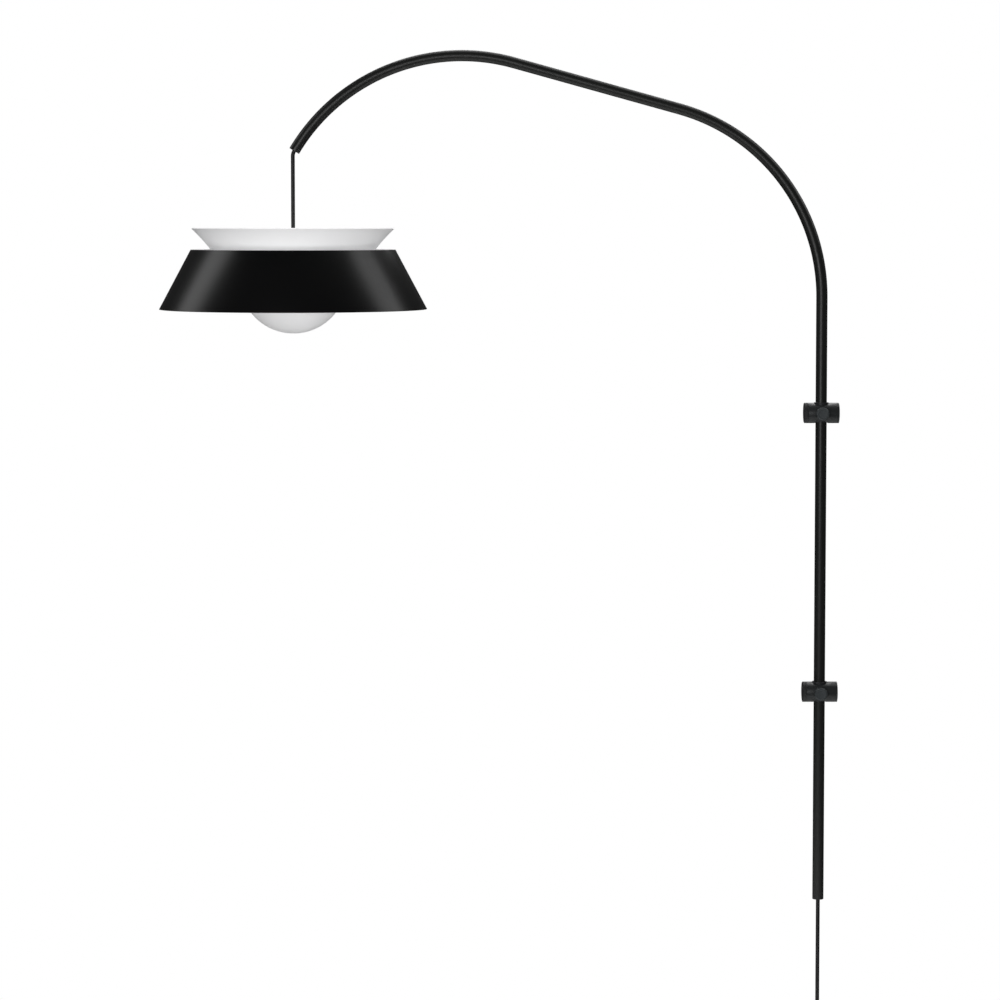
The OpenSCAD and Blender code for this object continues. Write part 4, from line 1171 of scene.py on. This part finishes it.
def make_plug():
    """The moulded plug: a flat body with soft edges and finger ribs, and a ribbed strain relief."""
    half, neck, waist, soft = plug_w / 2, 7.0, -20, 3.0
    right = [(neck, 0), (half - 4, -8), (half, waist), (half, 4 - plug_len), (half - 2.5, -plug_len)]
    round_r = [2.5, 6, 12, 3, 2]
    outline = [(-neck, 0), *right, *[(-y, z) for y, z in right[:0:-1]]]
    radii = [round_r[0], *round_r, *round_r[:0:-1]]
    centre = Vector((0, -plug_len / 2))
    rings = []
    for z, inset in domed_levels(-plug_t / 2, plug_t / 2, soft, soft, 6):
        scale = Vector(((half - inset) / half, (plug_len / 2 - inset) / (plug_len / 2)))
        rings.append([(z, centre.x + (p.x - centre.x) * scale.x, centre.y + (p.y - centre.y) * scale.y)
                      for p in rounded(outline, radii, 6)])
    body = loft(rings, 40)
    rib = slab(0.9, 13.0, 0.4, domed_levels(plug_t / 2 - 0.5, plug_t / 2 + 0.05, 0, 0.3, 2), 4)
    ribs = placed(in_row(rib, 6, (2.4, 0, 0), BLACK_PLASTIC), at(z=-14), turned(90, "Y"))
    other = placed(ribs.copy(), turned(180, "Z"))
    make("plug_shell", placed(joined(body, ribs, other, relief()), AT_PLUG, at(z=-relief_len)),
         BLACK_PLASTIC, "arm", "black_plastic", "plug_body")


def relief():
    """The tapered strain relief on top of the plug's body, cut into rings."""
    foot_r, head_r, slots, deep, lap = cord_r + 2.2, cord_r + 0.8, 6, 1.0, -1.0
    outline = [(cord_r, lap), (foot_r + 0.3, lap)]
    for k in range(slots):
        z = relief_len * k / slots
        r = foot_r + (head_r - foot_r) * k / slots
        outline += [(r, z + 0.3), (r - 0.15, z + 1.6), (r - deep, z + 1.7), (r - deep, z + 2.5)]
    outline += [(head_r, relief_len - 0.1), (head_r - 0.3, relief_len), (cord_r, relief_len)]
    return lathe(outline, 48, sharp=25)


def make_pins():
    """The plug's pins: bright round-nosed tips, with black insulating sleeves next to the body."""
    sleeve_len, nose, step, root_r, root_len = 10.0, 1.2, 0.12, 1.5, 9.0
    outline = [(0, -pin_len), (pin_r - nose, -pin_len), *arc((pin_r - nose, nose - pin_len), nose, -90, 0, 6),
               (pin_r, -sleeve_len), (pin_r - step, -sleeve_len), (pin_r - step, -sleeve_len + 0.2),
               (pin_r, -sleeve_len + 0.2), (pin_r, 0), (root_r, 0), (root_r, root_len), (0, root_len)]
    pins = in_row(lathe(outline, 40), 2, (0, pin_gap, 0), ZINC)
    for face in pins.polygons:
        face.material_index = 1 if face.center.z > (-sleeve_len + 0.1) * MM else 0
    make("plug_pin_pair", placed(pins, AT_PLUG, at(z=-relief_len - plug_len)), [ZINC, BLACK_PLASTIC], "arm",
         "steel", "plug_pins")


make_tie()
make_plug()
make_pins()

# ---------- CAD parts that keep their own shape
CAD_FINISHES = {
    "upper_base": BLOCK_METAL, "lower_base": BLOCK_METAL, "grub_screws": ZINC, "upper_pad": BRASS,
    "lower_pad": BRASS, "foot_bushing": BLACK_PLASTIC, "mouth_bushing": BLACK_PLASTIC,
    "tube_cord": JACKET, "grip_locknut": ZINC, "holder_core": CERAMIC, "screw_shell": BRASS,
    "centre_contact": BRASS, "bulb_contact": BRASS, "switch_terminals": BRASS,
}
for node, finish in CAD_FINISHES.items():
    part = frame["nodes"][node]
    part.data.materials.clear()
    part.data.materials.append(finish)


# ---------- light and floor
def area_light(name, place, target, size, power, mirrored=True):
    """A soft box. One that isn't mirrored lights the surfaces without showing in their gloss."""
    data = bpy.data.lights.new(name, "AREA")
    data.shape = "RECTANGLE"
    data.size, data.size_y = size
    data.energy = power
    light = bpy.data.objects.new(name, data)
    light.location = place
    light.rotation_euler = (Vector(target) - Vector(place)).to_track_quat("-Z", "Y").to_euler()
    light.visible_glossy = mirrored
    scene.collection.objects.link(light)


def make_studio():
    """A white sweep for the camera, softer as light and dim in gloss, with soft boxes all round."""
    world = bpy.data.worlds.new("studio")
    world.use_nodes = True
    tree = world.node_tree
    tree.nodes.clear()
    rays = add(tree, "ShaderNodeLightPath")
    seen, lit, mirrored = [
        add(tree, "ShaderNodeBackground", {"Color": (1, 1, 1, 1), "Strength": strength}).outputs[0]
        for strength in (1.0, 0.28, 0.04)]
    dimmed = add(tree, "ShaderNodeMixShader", {0: rays.outputs["Is Glossy Ray"], 1: lit, 2: mirrored})
    both = add(tree, "ShaderNodeMixShader", {0: rays.outputs["Is Camera Ray"], 1: dimmed.outputs[0], 2: seen})
    add(tree, "ShaderNodeOutputWorld", {"Surface": both.outputs[0]})
    scene.world = world
    shade, arm = (-0.776, 0, 0.40), (-0.40, 0, 0.20)
    area_light("left soft box", (-2.70, 0.35, 1.55), shade, (0.9, 1.5), 7.0)
    area_light("right soft box", (1.15, 0.35, 1.55), shade, (0.9, 1.5), 7.0)
    area_light("top soft box", (-0.30, 0.60, 2.6), arm, (2.2, 1.2), 16.0)
    area_light("back soft box", (-0.30, 2.2, 1.9), arm, (2.2, 1.0), 26.0)
    area_light("front soft box", (-1.30, -3.3, 0.30), arm, (1.4, 1.5), 27.0)
    area_light("front fill", (-0.9, -3.6, 1.6), arm, (2.4, 1.6), 30.0, mirrored=False)
    area_light("low front fill", (-0.25, -3.2, -0.1), shade, (2.0, 1.0), 29.0, mirrored=False)
    area_light("floor fill", (-0.4, -0.2, 2.8), (-0.4, -0.2, -1.0), (2.4, 2.0), 22.0, mirrored=False)


def make_floor():
    """A pale round floor, clear of the plug when the arm is slid right down."""
    radius, thick, gap = 1300.0, 20.0, 190.0
    top = CAD_BOX[0].z / MM - gap
    disc = lathe(rounded([(0, top - thick), (radius, top - thick), (radius, top), (0, top)],
                         [0, 6, 10, 0], 5), 128)
    floor = bpy.data.objects.new("floor", placed(disc, at(-400, -150, 0)))
    scene.collection.objects.link(floor)
    floor.data.materials.append(finish_of("pale studio floor", ("#e9e9e8", "#efefee"), (0.6, 0.7), 8.0,
                                          0.01, cloud=400.0))


make_studio()
make_floor()
scene.view_settings.view_transform = "Standard"
scene.view_settings.look = "None"
